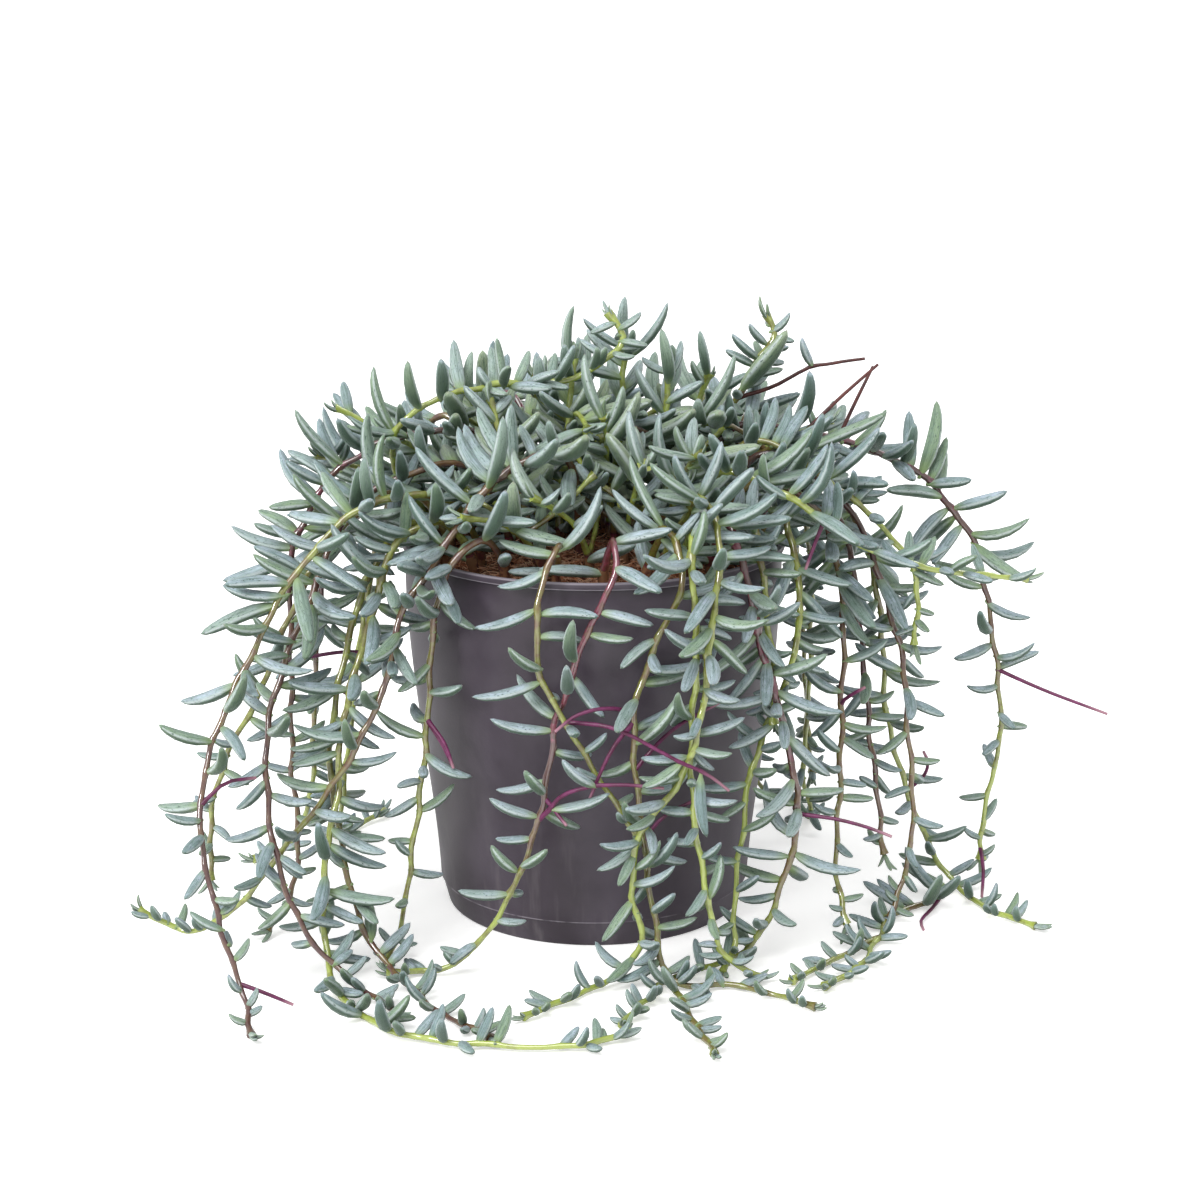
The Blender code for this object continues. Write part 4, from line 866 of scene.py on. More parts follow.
def lay_down(leaf):
    """Bows a filling leaf less or more, and turns it nearer to the level in the heap or steeper below."""
    measure = (abs(leaf["bow"]) * FILL_VARIETY) % 1.0
    leaf["bow"] *= part_way(measure, *FILL_BOW)
    x, y, height = leaf["root"]
    if height > CROWN_FLOOR and math.hypot(x, y) < INNER_HEAP_REACH[0]:
        leaf["out"] = unit(leaf["out"] * np.array([1.0, 1.0, part_way(measure, *FILL_FLATNESS)]))
    elif height > LYING_HEIGHT:
        leaf["out"] = unit(leaf["out"] + part_way(measure, *FILL_LIFT) * UP)
    leaf["up"] = square_to(leaf["out"])


def part_way(measure, low, high):
    """The value this share of the way from the first to the second."""
    return low + measure * (high - low)


def aged(leaf, growth):
    """The leaf with its age: 0 at a young tip, up to 1 for about half of those inside the crown's heap."""
    x, y, height = leaf["root"]
    inside = AGED_HEIGHT[0] < height < AGED_HEIGHT[1] and math.hypot(x, y) < AGED_REACH
    old = inside and (abs(leaf["bow"]) * AGE_VARIETY) % 1.0 < AGED_SHARE
    leaf["age"] = growth * (1.0 if old else GROWN_AGE)
    leaf["radius"] *= AGED_SWELLING if old else 1.0
    return leaf


def leaf_places(path, upright, rooted):
    """The arc lengths along a stem where leaves grow, closer in the crown and at the young tip."""
    along = arc_lengths(path)
    places = []
    place = FIRST_LEAF if rooted else FIRST_SHOOT_LEAF
    while place < along[-1] - LAST_LEAF_MARGIN:
        places.append(place)
        height = np.interp(place, along, path[:, 2])
        step = CROWN_LEAF_STEP if height > CROWN_FLOOR else TRAILING_LEAF_STEP
        if along[-1] - place < YOUNG_TIP_LENGTH and not upright:
            step *= YOUNG_TIP_CLOSENESS
        place += step
    return places


def leaf_spots(name, owner, parts):
    """Every place on one plant where a leaf can grow, with all that the rule for a leaf asks."""
    short = is_short_shoot(name)
    for part, (kind, path, _) in enumerate(parts):
        if kind == "stalk":
            continue
        along = arc_lengths(path)
        coarse = path[simplified(path, kind == "stem")]
        places = leaf_places(path, short, kind == "stem")
        for number, place in enumerate(places):
            last = number == len(places) - 1
            beyond = along[-1] if last else places[number + 1]
            for key, spot in ((number, place), (number + HALF_STEP_KEY, (place + beyond) / 2)):
                centre = points_at(path, along, spot)
                ahead = points_at(path, along, spot + TANGENT_REACH)
                tangent = unit(ahead - points_at(path, along, spot - TANGENT_REACH))
                young = YOUNG_SHOOT_LENGTH if short else YOUNG_LENGTH
                growth = min(1.0, SMALLEST_GROWTH + (1 - SMALLEST_GROWTH) * (along[-1] - spot) / young)
                solid = key == number and (last or chosen_place(number, centre))
                offsets = line_offsets(centre[None], coarse[:-1], coarse[1:])[0]
                root = centre - offsets[np.linalg.norm(offsets, axis=1).argmin()]
                yield solid, (root, tangent, growth, short and tangent[2] > UPRIGHT, (owner, part, key))


def is_short_shoot(name):
    """Whether a plant is one of the crown's short upright shoots."""
    return name.startswith("crown_shoot") and name != TALL_SHOOT


def chosen_place(number, centre):
    """Whether the solid plant fills a leaf place: half of those on the heap, a third of those that trail."""
    if centre[2] < CROWN_FLOOR:
        return number % 3 == 0
    deep = centre[2] < HEAP_CORE_HEIGHT and math.hypot(centre[0], centre[1]) < HEAP_CORE_RADIUS
    return number % 2 == 0 and not (deep and centre[1] > HEAP_CORE_FRONT)


def grow_sprigs(space, plants):
    """Short side shoots low on the crown's upright stems, which fill the heap between them."""
    rng = np.random.default_rng(SEED)
    for owner, (name, parts) in enumerate(plants.items()):
        if not is_short_shoot(name):
            continue
        path = parts[0][1]
        along = arc_lengths(path)
        turn = rng.uniform(0, 2 * math.pi)
        for _ in range(SPRIGS):
            turn += GOLDEN_ANGLE + rng.normal(0, SPRIG_TURN_SPREAD)
            start = points_at(path, along, rng.uniform(*SPRIG_START) * along[-1])
            length = rng.uniform(*SPRIG_LENGTH)
            flat = np.array([math.cos(turn), math.sin(turn), 0.0])
            end = start + length * (SPRIG_LEAN * flat + rng.uniform(*SPRIG_RISE) * UP)
            if end[1] < SPRIG_FRONT or math.hypot(end[0], end[1]) > SPRIG_REACH:
                continue
            middle = start + 0.5 * length * (SPRIG_MIDDLE[0] * flat + SPRIG_MIDDLE[1] * UP)
            others = (space.owners != owner) & (space.kinds == STEM_PIECE)
            part = grown("shoot", [start, middle, end], SHOOT_RADIUS, TIP_RADIUS, SHOOT_ROOT_POINTS, space,
                         others)
            parts.append(part)
            space.add_stems(owner, [part])


def grow_all_leaves(plants):
    """The solid plant's leaves by its own rule, then as many more as the places left over can take."""
    space = Space()
    leaves = {name: [] for name in plants}
    for owner, parts in enumerate(plants.values()):
        space.add_stems(owner, parts)

    def fill(wanted):
        for owner, (name, parts) in enumerate(plants.items()):
            for solid, spot in leaf_spots(name, owner, parts):
                leaf = fitted_leaf(space, *spot) if wanted(name, solid, spot) else None
                if leaf:
                    leaves[name].append(aged(leaf, spot[2]))

    fill(lambda name, solid, spot: solid)
    solid_parts = [len(parts) for parts in plants.values()]
    grow_sprigs(space, plants)
    space.start_filling()
    for given in PLACED_LEAVES:
        lay_by_hand(space, leaves, *given)
    rng = np.random.default_rng(SEED)

    def left_over(name, solid, spot):
        owner, part, key = spot[4]
        if solid and part < solid_parts[owner]:
            return False
        return rng.random() < fill_chance(name, spot[0], key >= HALF_STEP_KEY)

    fill(left_over)
    return leaves


def fill_chance(name, root, half_step):
    """How likely an empty place gets a leaf: thinner where stems trail and where the soil shows in front."""
    x, y, height = root
    if height < LYING_HEIGHT:
        return LYING_CHANCE
    if height < CROWN_FLOOR:
        return HALF_STEP_CHANCE.get(name, HALF_STEP_CHANCE[name.split("_")[0]]) if half_step else 1.0
    if OPEN_SOIL_SIDES[0] < x < OPEN_SOIL_SIDES[1] and y < OPEN_SOIL_BACK and height < OPEN_SOIL_TOP:
        return OPEN_SOIL_CHANCE
    return CROWN_FRONT_CHANCE if y < CROWN_FRONT else 1.0


def lay_by_hand(space, leaves, x, y, z, tip_x, tip_y, tip_z, radius, bow, age=0.5):
    """One leaf between two given points, on the stem nearest to its root, if it clears the rest."""
    stems = np.flatnonzero(space.kinds == STEM_PIECE)
    sight = np.array([x, y, z], float) - np.array(CAMERA_PLACE) / MM
    tries = []
    for shift in DEPTH_SHIFTS:
        start = (x, y, z) + shift * sight / sight[1]
        offsets = line_offsets(start[None], space.starts[stems], space.ends[stems])[0]
        nearest = np.linalg.norm(offsets, axis=1).argmin()
        distance = np.linalg.norm(offsets[nearest])
        if distance < ROOT_REACH:
            owner = int(space.owners[stems[nearest]])
            tries.append((2 * distance + abs(shift), shift, start - offsets[nearest], owner))
    for _, shift, start, owner in sorted(tries, key=lambda given: given[0]):
        tip = end = (tip_x, tip_y, tip_z) + shift * sight / sight[1]
        for _ in range(2):
            length = np.linalg.norm(end - start)
            out = (end - start) / length
            up = square_to(out)
            end = tip - (1 - BOW_DIP) * bow * length * up
        leaf = {"root": start, "out": out, "up": up, "bow": bow, "length": length, "radius": radius,
                "age": age}
        if space.takes(leaf, owner):
            leaves[list(leaves)[owner]].append(leaf)
            return


# Building blocks for meshes and node trees


class Wire:
    """A node's output. Sums with it add maths nodes, and an index gives another output of its node."""

    def __init__(self, socket):
        self.socket = socket
        self.tree = socket.id_data

    def __getitem__(self, key):
        return Wire(self.socket.node.outputs[key])

    def __add__(self, other):
        return maths("ADD", self, other)

    def __sub__(self, other):
        return maths("SUBTRACT", self, other)

    def __rsub__(self, other):
        return maths("SUBTRACT", other, self)

    def __mul__(self, other):
        return maths("MULTIPLY", self, other)


def feed(sockets, values):
    """Feeds sockets, by name or number, from wires or plain values. A colour gets its alpha."""
    for key, value in values.items():
        socket = sockets[key.replace("_", " ") if isinstance(key, str) else key]
        if isinstance(value, Wire):
            value.tree.links.new(value.socket, socket)
        elif value is not None:
            socket.default_value = (*value, 1.0) if socket.type == "RGBA" else value


def add(tree, kind, *values, **named):
    """A new node's first output. Values and names with a capital are inputs, and other names settings."""
    node = tree.nodes.new(kind)
    for key in [key for key in named if key[0].islower()]:
        setattr(node, key, named.pop(key))
    feed(node.inputs, dict(enumerate(values)) | named)
    return Wire(node.outputs[0])


def maths(operation, *values, kind="ShaderNodeMath"):
    """The result of a maths node."""
    tree = next(value.tree for value in values if isinstance(value, Wire))
    return add(tree, kind, *values, operation=operation)


def vector_maths(operation, *values):
    """The result of a maths node on vectors."""
    return maths(operation, *values, kind="ShaderNodeVectorMath")


def scaled(vector, factor):
    """A vector times a number."""
    return vector_maths("SCALE", vector, None, None, factor)


def apart(vector):
    """The first part of a vector, with an index for each of the three."""
    return add(vector.tree, "ShaderNodeSeparateXYZ", vector)


def eased(value, *ends):
    """A value carried smoothly from one range to another, which is 0 to 1 if it isn't given."""
    return add(value.tree, "ShaderNodeMapRange", value, *ends, interpolation_type="SMOOTHSTEP")


def curve_of(value, points):
    """A value shaped by a smooth curve through the given points."""
    made = add(value.tree, "ShaderNodeFloatCurve", Value=value)
    mapping = made.socket.node.mapping
    line = mapping.curves[0].points
    for x, y in points[1:-1]:
        line.new(x, y)
    line[0].location = points[0]
    line[-1].location = points[-1]
    mapping.update()
    return made


def field(tree, name, kind="FLOAT"):
    """A named attribute inside geometry nodes."""
    return add(tree, "GeometryNodeInputNamedAttribute", name, data_type=kind)


def stored(geometry, **values):
    """The geometry with values kept on its points under their names."""
    for name, value in values.items():
        geometry = add(geometry.tree, "GeometryNodeStoreNamedAttribute", geometry, Name=name, Value=value)
    return geometry


def joined(first, *others):
    """Pieces of geometry as one."""
    whole = add(first.tree, "GeometryNodeJoinGeometry", first)
    for other in others:
        feed(whole.socket.node.inputs, {0: other})
    return whole


def new_tree(name, kind, inputs, outputs):
    """A node tree, its first input and its outputs. An input is given by its value or by its kind."""
    tree = bpy.data.node_groups.new(name, kind)
    for label, value in inputs.items():
        plain = not isinstance(value, str)
        sort = type(value).__name__.capitalize() if plain else value
        socket = tree.interface.new_socket(label, in_out="INPUT", socket_type="NodeSocket" + sort)
        if plain:
            socket.default_value = value
    for label, sort in outputs.items():
        tree.interface.new_socket(label, in_out="OUTPUT", socket_type="NodeSocket" + sort)
    given = Wire(tree.nodes.new("NodeGroupInput").outputs[0])
    return tree, given, tree.nodes.new("NodeGroupOutput").inputs


def made_plain(source, tree, values, name):
    """The source object run through a node tree and kept as a plain mesh object of the given name."""
    modifier = source.modifiers.new("Grow", "NODES")
    modifier.node_group = tree
    for item in tree.interface.items_tree:
        if item.name in values and item.in_out == "INPUT":
            modifier[item.identifier] = values[item.name]
    bpy.context.view_layer.update()
    graph = bpy.context.evaluated_depsgraph_get()
    mesh = bpy.data.meshes.new_from_object(source.evaluated_get(graph), preserve_all_data_layers=True,
                                           depsgraph=graph)
    source.modifiers.remove(modifier)
    bpy.data.objects.remove(source)
    mesh.name = name
    return shown(name, mesh)


def shown(name, data):
    """A new object in the scene."""
    made = bpy.data.objects.new(name, data)
    bpy.context.scene.collection.objects.link(made)
    return made


def mesh_object(name, points, faces, edges=()):
    """An object from points in millimetres."""
    mesh = bpy.data.meshes.new(name)
    mesh.from_pydata([tuple(point) for point in np.asarray(points) * MM], edges, faces)
    return shown(name, mesh)


# Leaves and stems of the visible plant


def young_leaves(rng, plants):
    """Tiny new leaves round the growing tip of every stem and shoot."""
    made = {name: [] for name in plants}
    for name, parts in plants.items():
        for kind, path, _ in parts:
            if kind == "stalk":
                continue
            forward = unit(path[-1] - path[-2])
            for _ in range(TIP_LEAVES):
                spread = unit(np.cross(forward, rng.normal(size=3)))
                out = unit(forward + rng.uniform(*TIP_LEAF_SPREAD) * spread)
                length = rng.uniform(*TIP_LEAF_LENGTH)
                out[2] = max(out[2], (TIP_LEAF_FLOOR - path[-1][2]) / length)
                out = unit(out)
                made[name].append({
                    "root": path[-1] - TIP_LEAF_SINK * forward, "out": out, "up": square_to(out),
                    "length": length, "radius": TIP_LEAF_SLIMNESS * length, "age": 0.0,
                    "bow": rng.uniform(*TIP_LEAF_BOW)})
    return made


def stem_thickness(path, radii, leaves):
    """Closely spaced points along a stem and its radius there, swollen a little where each leaf grows."""
    along = arc_lengths(path)
    places = even_places(along[-1], FINE_STEP)
    fine = points_at(path, along, places)
    thick = np.interp(places, along, radii)
    kinks = np.zeros_like(fine)
    for leaf in leaves:
        reach = np.linalg.norm(fine - leaf["root"], axis=1)
        thick = thick * (1 + NODE_SWELLING * np.exp(-(reach / NODE_LENGTH) ** 2))
        kinks += NODE_KINK * np.exp(-(reach / KINK_LENGTH) ** 2)[:, None] * leaf["out"]
    kinks *= np.clip(places / (2 * KINK_LENGTH), 0, 1)[:, None]
    kinks[:, 2] = np.maximum(kinks[:, 2], 0)
    if leaves:
        thick = thick * np.interp(places / along[-1], FULLNESS_PLACES, STEM_FULLNESS)
    fine = fine + kinks
    fine[:, 2] = np.maximum(fine[:, 2], thick)
    return fine, thick, places / along[-1]


def woody_foot(fine, thick, ripeness):
    """The stem's foot above the soil, thicker and turned to bark."""
    near = np.exp(-(np.maximum(fine[:, 2] - SOIL_EDGE_HEIGHT - SOIL_RISE, 0) / FOOT_LENGTH) ** 2)
    near = np.where(np.arange(len(fine)) * FINE_STEP < 4 * FOOT_LENGTH, near, 0.0)
    return thick * (1 + FOOT_SWELLING * near), np.where(near > BARK_EDGE, 1.0, ripeness)


def stem_ripeness(name, kind, share, height, number):
    """How red-brown the stem is along its length, from 0 for young yellow-green to 1 for old dark red."""
    if kind == "stalk":
        return np.full(len(share), 0.0 if name in DRY_STALK_STEMS and height > DRY_STALK_HEIGHT else 1.0)
    low, high, change = STEM_TINTS.get(name, OTHER_STEM_TINT)
    in_heap = name.startswith("crown_shoot")
    if name.startswith("back_stem") or in_heap:
        rng = np.random.default_rng([SEED, number])
        low = rng.uniform(*(HEAP_STEM_RIPENESS if in_heap else BACK_STEM_RIPENESS))
        high, change = rng.uniform(*TIP_RIPENESS), rng.uniform(*RIPENESS_TURN)
    blend = np.clip((share - change + RIPENESS_BLEND / 2) / RIPENESS_BLEND, 0, 1)
    return low + (high - low) * blend * blend * (3 - 2 * blend)


def layout_mesh(name, number, parts, leaves, rng):
    """Lines for the stems and one loose point for each leaf, with all that the nodes need kept on them."""
    points, edges = [], []
    # Leaves on side and back stems get lower shade values: painted shade
    side_shade = SIDE_PAINTED_SHADE.get(name.split("_")[0], 1.0)
    columns = {key: [] for key in LAYOUT_VALUES}

    def note(count, **given):
        for key, column in columns.items():
            value = np.asarray(given.get(key, 0.0), float)
            column.append(np.broadcast_to(value, (count, 3) if key in LAYOUT_VECTORS else count))

    for kind, path, radii in parts:
        fine, thick, share = stem_thickness(path, radii, leaves)
        ripeness = stem_ripeness(name, kind, share, path[0][2], number)
        if kind == "stem":
            thick, ripeness = woody_foot(fine, thick, ripeness)
        edges += [(len(points) + i, len(points) + i + 1) for i in range(len(fine) - 1)]
        points += list(fine)
        note(len(fine), thick=thick * MM, along=share, stalk=kind == "stalk", ripeness=ripeness,
             shade=rng.random())
    for leaf in leaves:
        points.append(leaf["root"])
        reach = math.hypot(leaf["root"][0], leaf["root"][1])
        # Leaves inside the heap get a share of painted fill light
        shelter = np.interp(reach, INNER_HEAP_REACH[::-1], (1, 0)) if leaf["root"][2] > CROWN_FLOOR else 0.0
        note(1, leaf=1.0, shelter=shelter, length=leaf["length"] * MM, width=leaf["radius"] * MM,
             sway=rng.normal(0, LEAF_SWAY), shade=side_shade * rng.random(),
             **{key: leaf[key] for key in ("out", "up", "bow", "age")})
    made = mesh_object(name + "_layout", points, [], edges)
    for key, column in columns.items():
        kind, part = ("FLOAT_VECTOR", "vector") if key in LAYOUT_VECTORS else ("FLOAT", "value")
        layer = made.data.attributes.new(key, kind, "POINT")
        layer.data.foreach_set(part, np.concatenate(column).astype(np.float32).ravel())
    return made


def leafy_stem_tree():
    """Nodes that turn a layout into round stems and curved, pointed leaves."""
    tree, given, result = new_tree("leafy_stem", "GeometryNodeTree", {
        "Geometry": "Geometry", "Stem Sides": 8, "Leaf Rings": 9, "Leaf Sides": 8, "Leaf Depth": 0.86,
        "Hook": 0.06, "Bow Dip": BOW_DIP, "Leaf Skin": "Material", "Stem Skin": "Material",
        "Stalk Skin": "Material"}, {"Geometry": "Geometry"})
    tree.is_modifier = True
    circle = add(tree, "GeometryNodeCurvePrimitiveCircle", Radius=1.0, Resolution=given["Stem Sides"])
    split = add(tree, "GeometryNodeSeparateGeometry", given, field(tree, "leaf"), domain="POINT")
    lines = add(tree, "GeometryNodeMeshToCurve", split["Inverted"])
    tubes = add(tree, "GeometryNodeCurveToMesh", lines, circle, Scale=field(tree, "thick"), Fill_Caps=True)
    bark = add(tree, "GeometryNodeSetMaterial", tubes, Material=given["Stem Skin"])
    stems = add(tree, "GeometryNodeSetMaterial", bark, field(tree, "stalk"), given["Stalk Skin"])

    # One straight leaf, a unit long and a unit wide, with its points gathered at both ends
    spine = add(tree, "GeometryNodeCurvePrimitiveLine", (0, 0, 0), (1, 0, 0))
    rings = add(tree, "GeometryNodeResampleCurve", Curve=spine, Count=given["Leaf Rings"])
    place = apart(add(tree, "GeometryNodeInputPosition"))
    wave = maths("SINE", place[0] * (2 * math.pi)) * -RINGS_GATHERED
    moved = add(tree, "GeometryNodeSetPosition", rings, Offset=add(tree, "ShaderNodeCombineXYZ", wave))
    round_leaf = add(tree, "GeometryNodeCurvePrimitiveCircle", Radius=1.0, Resolution=given["Leaf Sides"])
    body = add(tree, "GeometryNodeCurveToMesh", stored(moved, along=place[0]), round_leaf,
               Scale=curve_of(field(tree, "along"), LEAF_WIDTHS), Fill_Caps=True)
    spot = apart(add(tree, "GeometryNodeInputPosition"))
    facing = apart(vector_maths("NORMALIZE", add(tree, "ShaderNodeCombineXYZ", 0.0, spot[1], spot[2])))
    sided = stored(body, inner=facing[2], beside=facing[1])
    blank = add(tree, "GeometryNodeMergeByDistance", sided, Distance=0.001)

    # A leaf at every leaf point, turned and sized, then bowed
    out, up = (field(tree, name, "FLOAT_VECTOR") for name in LAYOUT_VECTORS)
    along, length, width = (field(tree, name) for name in ("along", "length", "width"))
    turn = add(tree, "FunctionNodeAxesToRotation", out, up, primary_axis="X", secondary_axis="Z")
    size = add(tree, "ShaderNodeCombineXYZ", length, width, width * given["Leaf Depth"])
    leaves = add(tree, "GeometryNodeInstanceOnPoints", add(tree, "GeometryNodeMeshToPoints", split),
                 Instance=blank, Rotation=turn, Scale=size)
    real = add(tree, "GeometryNodeRealizeInstances", leaves)
    square = along * along
    hook = maths("POWER", along, 5.0) * given["Hook"]
    rise = (square - along * given["Bow Dip"]) * field(tree, "bow") + hook
    aside = scaled(vector_maths("CROSS_PRODUCT", up, out), (square - along) * field(tree, "sway"))
    shift = scaled(vector_maths("ADD", scaled(up, rise), aside), length)
    bowed = add(tree, "GeometryNodeSetPosition", real, Offset=shift)
    skinned = add(tree, "GeometryNodeSetMaterial", bowed, Material=given["Leaf Skin"])
    smooth = add(tree, "GeometryNodeSetShadeSmooth", joined(skinned, stems))
    feed(result, {0: add(tree, "GeometryNodeRealizeInstances", smooth)})
    return tree


# Materials


def attributes(tree, *names):
    """Values kept on the mesh, for a material."""
    return [add(tree, "ShaderNodeAttribute", attribute_name=name)["Fac"] for name in names]


def noise(vector, scale, detail=3.0, roughness=0.5):
    """A noise value from 0 to 1."""
    return add(vector.tree, "ShaderNodeTexNoise", vector, Scale=scale, Detail=detail, Roughness=roughness)


def layered(colour, *layers):
    """A colour with others laid on it one by one, each as far as its mask says."""
    for mask, other in layers:
        node = add(mask.tree, "ShaderNodeMix", mask, data_type="RGBA")[2]
        feed(node.socket.node.inputs, {6: colour, 7: other})
        colour = node
    return colour


def patches_group():
    """Soft patches, sharp flecks and a fine bumpy surface, at any scale."""
    tree, given, result = new_tree("patches_and_grain", "ShaderNodeTree", {
        "Vector": "Vector", "Patch Scale": 40.0, "Grain Scale": 900.0, "Grain Height": 0.0002,
        "Fleck Amount": 0.1}, {"Patches": "Float", "Flecks": "Float", "Normal": "Vector"})
    grain = noise(given, given["Grain Scale"], 3.0, 0.65)
    feed(result, {
        "Patches": eased(noise(given, given["Patch Scale"], 4.0, 0.6), 0.35, 0.68),
        "Flecks": add(tree, "ShaderNodeMapRange", grain, 0.78 - given["Fleck Amount"], 0.8),
        "Normal": add(tree, "ShaderNodeBump", Height=grain, Distance=given["Grain Height"], Strength=1.0)})
    return tree


def surface(name, roughness, **values):
    """A new material: itself, its shader's inputs with the even values set, and where it is on the object."""
    material = bpy.data.materials.new(name)
    material.use_nodes = True
    shader = material.node_tree.nodes["Principled BSDF"].inputs
    feed(shader, {"Roughness": roughness} | values)
    return material, shader, add(material.node_tree, "ShaderNodeTexCoord")["Object"]


def patched(place, group, *values):
    """The shared patches and grain, placed in a material with its own values."""
    return add(place.tree, "ShaderNodeGroup", place, *values, node_tree=group)


def leaf_skin(group):
    """Waxy blue-green leaf: green at the root, dark window lines and veins along it, painted highlight at its
    edges, painted shade below.
    """
    material, shader, place = surface(
        "leaf_skin", 0.5, Specular_IOR_Level=0.4, Sheen_Weight=0.35, Sheen_Roughness=0.35,
        Sheen_Tint=LEAF_SHEEN, Subsurface_Weight=0.1, Subsurface_Scale=0.002,
        Subsurface_Radius=(0.5, 1.0, 0.4))
    tree = material.node_tree
    along, inner, beside, shade, age, shelter = attributes(
        tree, "along", "inner", "beside", "shade", "age", "shelter")
    streaked = add(tree, "ShaderNodeCombineXYZ", along * 1.3 + shade * 50.0, beside * 3.4, inner * 1.6)
    veins = noise(streaked, 2.6, 4.0, 0.62)
    scuffs = noise(vector_maths("MULTIPLY", streaked, (1.6, 5.0, 3.0)), 3.0, 5.0, 0.7)
    dashes = noise(vector_maths("MULTIPLY", streaked, (5.0, 0.75, 0.9)), 3.4, 2.0)
    hue = maths("FRACT", shade * 7.3)
    bloom = patched(place, group, 210.0, 2600.0, 0.00006, 0.13)
    # How far each face points up, which lays painted light on top and painted shade below
    upward = apart(place["Normal"])[2]
    fresh = eased(age, 0.95, 0.6)
    dust = (bloom * 0.45 + 0.2) * fresh * eased(hue, 0.8, 0.0, 0.4, 1.6)
    line = eased(inner, 0.9, 0.99) * eased(along, 0.05, 0.2) * eased(along, 0.97, 0.8)
    skin = layered(
        LEAF_DEEP,
        (eased(shade, 0.1, 0.9), LEAF_PALE),
        (eased(hue, 0.4, 0.9) * 0.8, LEAF_GREEN),
        # Painted fill light on leaves inside the heap
        (shelter * 0.5, LEAF_HEAP_FILL_LIGHT),
        (eased(age, 0.6, 0.95) * 0.85, LEAF_OLD),
        (eased(age, 0.32, 0.0), LEAF_YOUNG),
        # Wax bloom on upward faces: partly the leaf's own wax, partly painted light from above
        (eased(upward, -0.2, 0.8) * dust, LEAF_BLOOM_AND_TOP_LIGHT),
        (eased(veins, 0.48, 0.64) * 0.7, LEAF_VEIN),
        (eased(scuffs, 0.5, 0.62) * (1.0 - fresh) * 0.6, LEAF_SCUFF),
        (eased(scuffs, 0.52, 0.66) * 0.35, LEAF_BLOOM_AND_TOP_LIGHT),
        # Downward faces darker: painted shade, partly the leaf's own greener underside
        (eased(upward, 0.4, -0.65) * 0.88, LEAF_UNDER_SHADE),
        # Painted highlight along the leaf's two edges
        (eased(maths("ABSOLUTE", beside), 0.82, 1.0) * 0.65, LEAF_EDGE_HIGHLIGHT),
        (line * 0.42, LEAF_WINDOW),
        (eased(dashes, 0.6, 0.68) * eased(along, 0.1, 0.6, 0.3, 0.85), LEAF_DASH),
        (bloom["Flecks"] * 0.35, LEAF_WINDOW),
        (eased(along, 0.34, 0.0, 0.0, 0.85), LEAF_ROOT),
        (eased(along, 0.97, 1.0) * 0.5, LEAF_TIP))
    wrinkles = add(tree, "ShaderNodeBump", Height=veins, Distance=0.0006, Strength=0.7,
                   Normal=bloom["Normal"])
    feed(shader, {"Base Color": skin, "Roughness": bloom * 0.2 + 0.4 - line * 0.12, "Normal": wrinkles})
    return material


def stem_skin(group):
    """Glossy stem, yellow-green where young and pink-brown to dark red where old."""
    material, shader, place = surface("stem_skin", 0.34, Specular_IOR_Level=0.3, Coat_Weight=1.0,
                                      Coat_IOR=2.0, Coat_Roughness=0.1)
    ripe, = attributes(place.tree, "ripeness")
    marks = patched(place, group, 240.0, 1800.0, 0.00008, 0.16)
    ramp = add(place.tree, "ShaderNodeValToRGB", (marks - 0.5) * 0.22 + ripe)
    stops = ramp.socket.node.color_ramp.elements
    for at, _ in STEM_COLOURS[1:-1]:
        stops.new(at)
    for stop, (_, colour) in zip(stops, STEM_COLOURS):
        stop.color = (*colour, 1.0)
    feed(shader, {"Base Color": layered(ramp, (marks["Flecks"] * 0.5, STEM_FLECK)),
                  "Roughness": marks * 0.14 + 0.4, "Normal": marks["Normal"]})
    return material


def stalk_skin(group):
    """Thin leafless stalk: magenta-purple with a paler tip, or dark red-brown once it is dry."""
    material, shader, place = surface("stalk_skin", 0.4, Specular_IOR_Level=0.5)
    along, ripe = attributes(place.tree, "along", "ripeness")
    marks = patched(place, group, 220.0, 1500.0, 0.00006, 0.1)
    fresh = layered(STALK_DARK, (marks, STALK_BRIGHT), (eased(along, 0.75, 1.0), STALK_TIP))
    feed(shader, {"Base Color": layered(DRY_DARK, (marks, DRY_BROWN), (ripe, fresh)),
                  "Roughness": marks * 0.2 + 0.3, "Normal": marks["Normal"]})
    return material


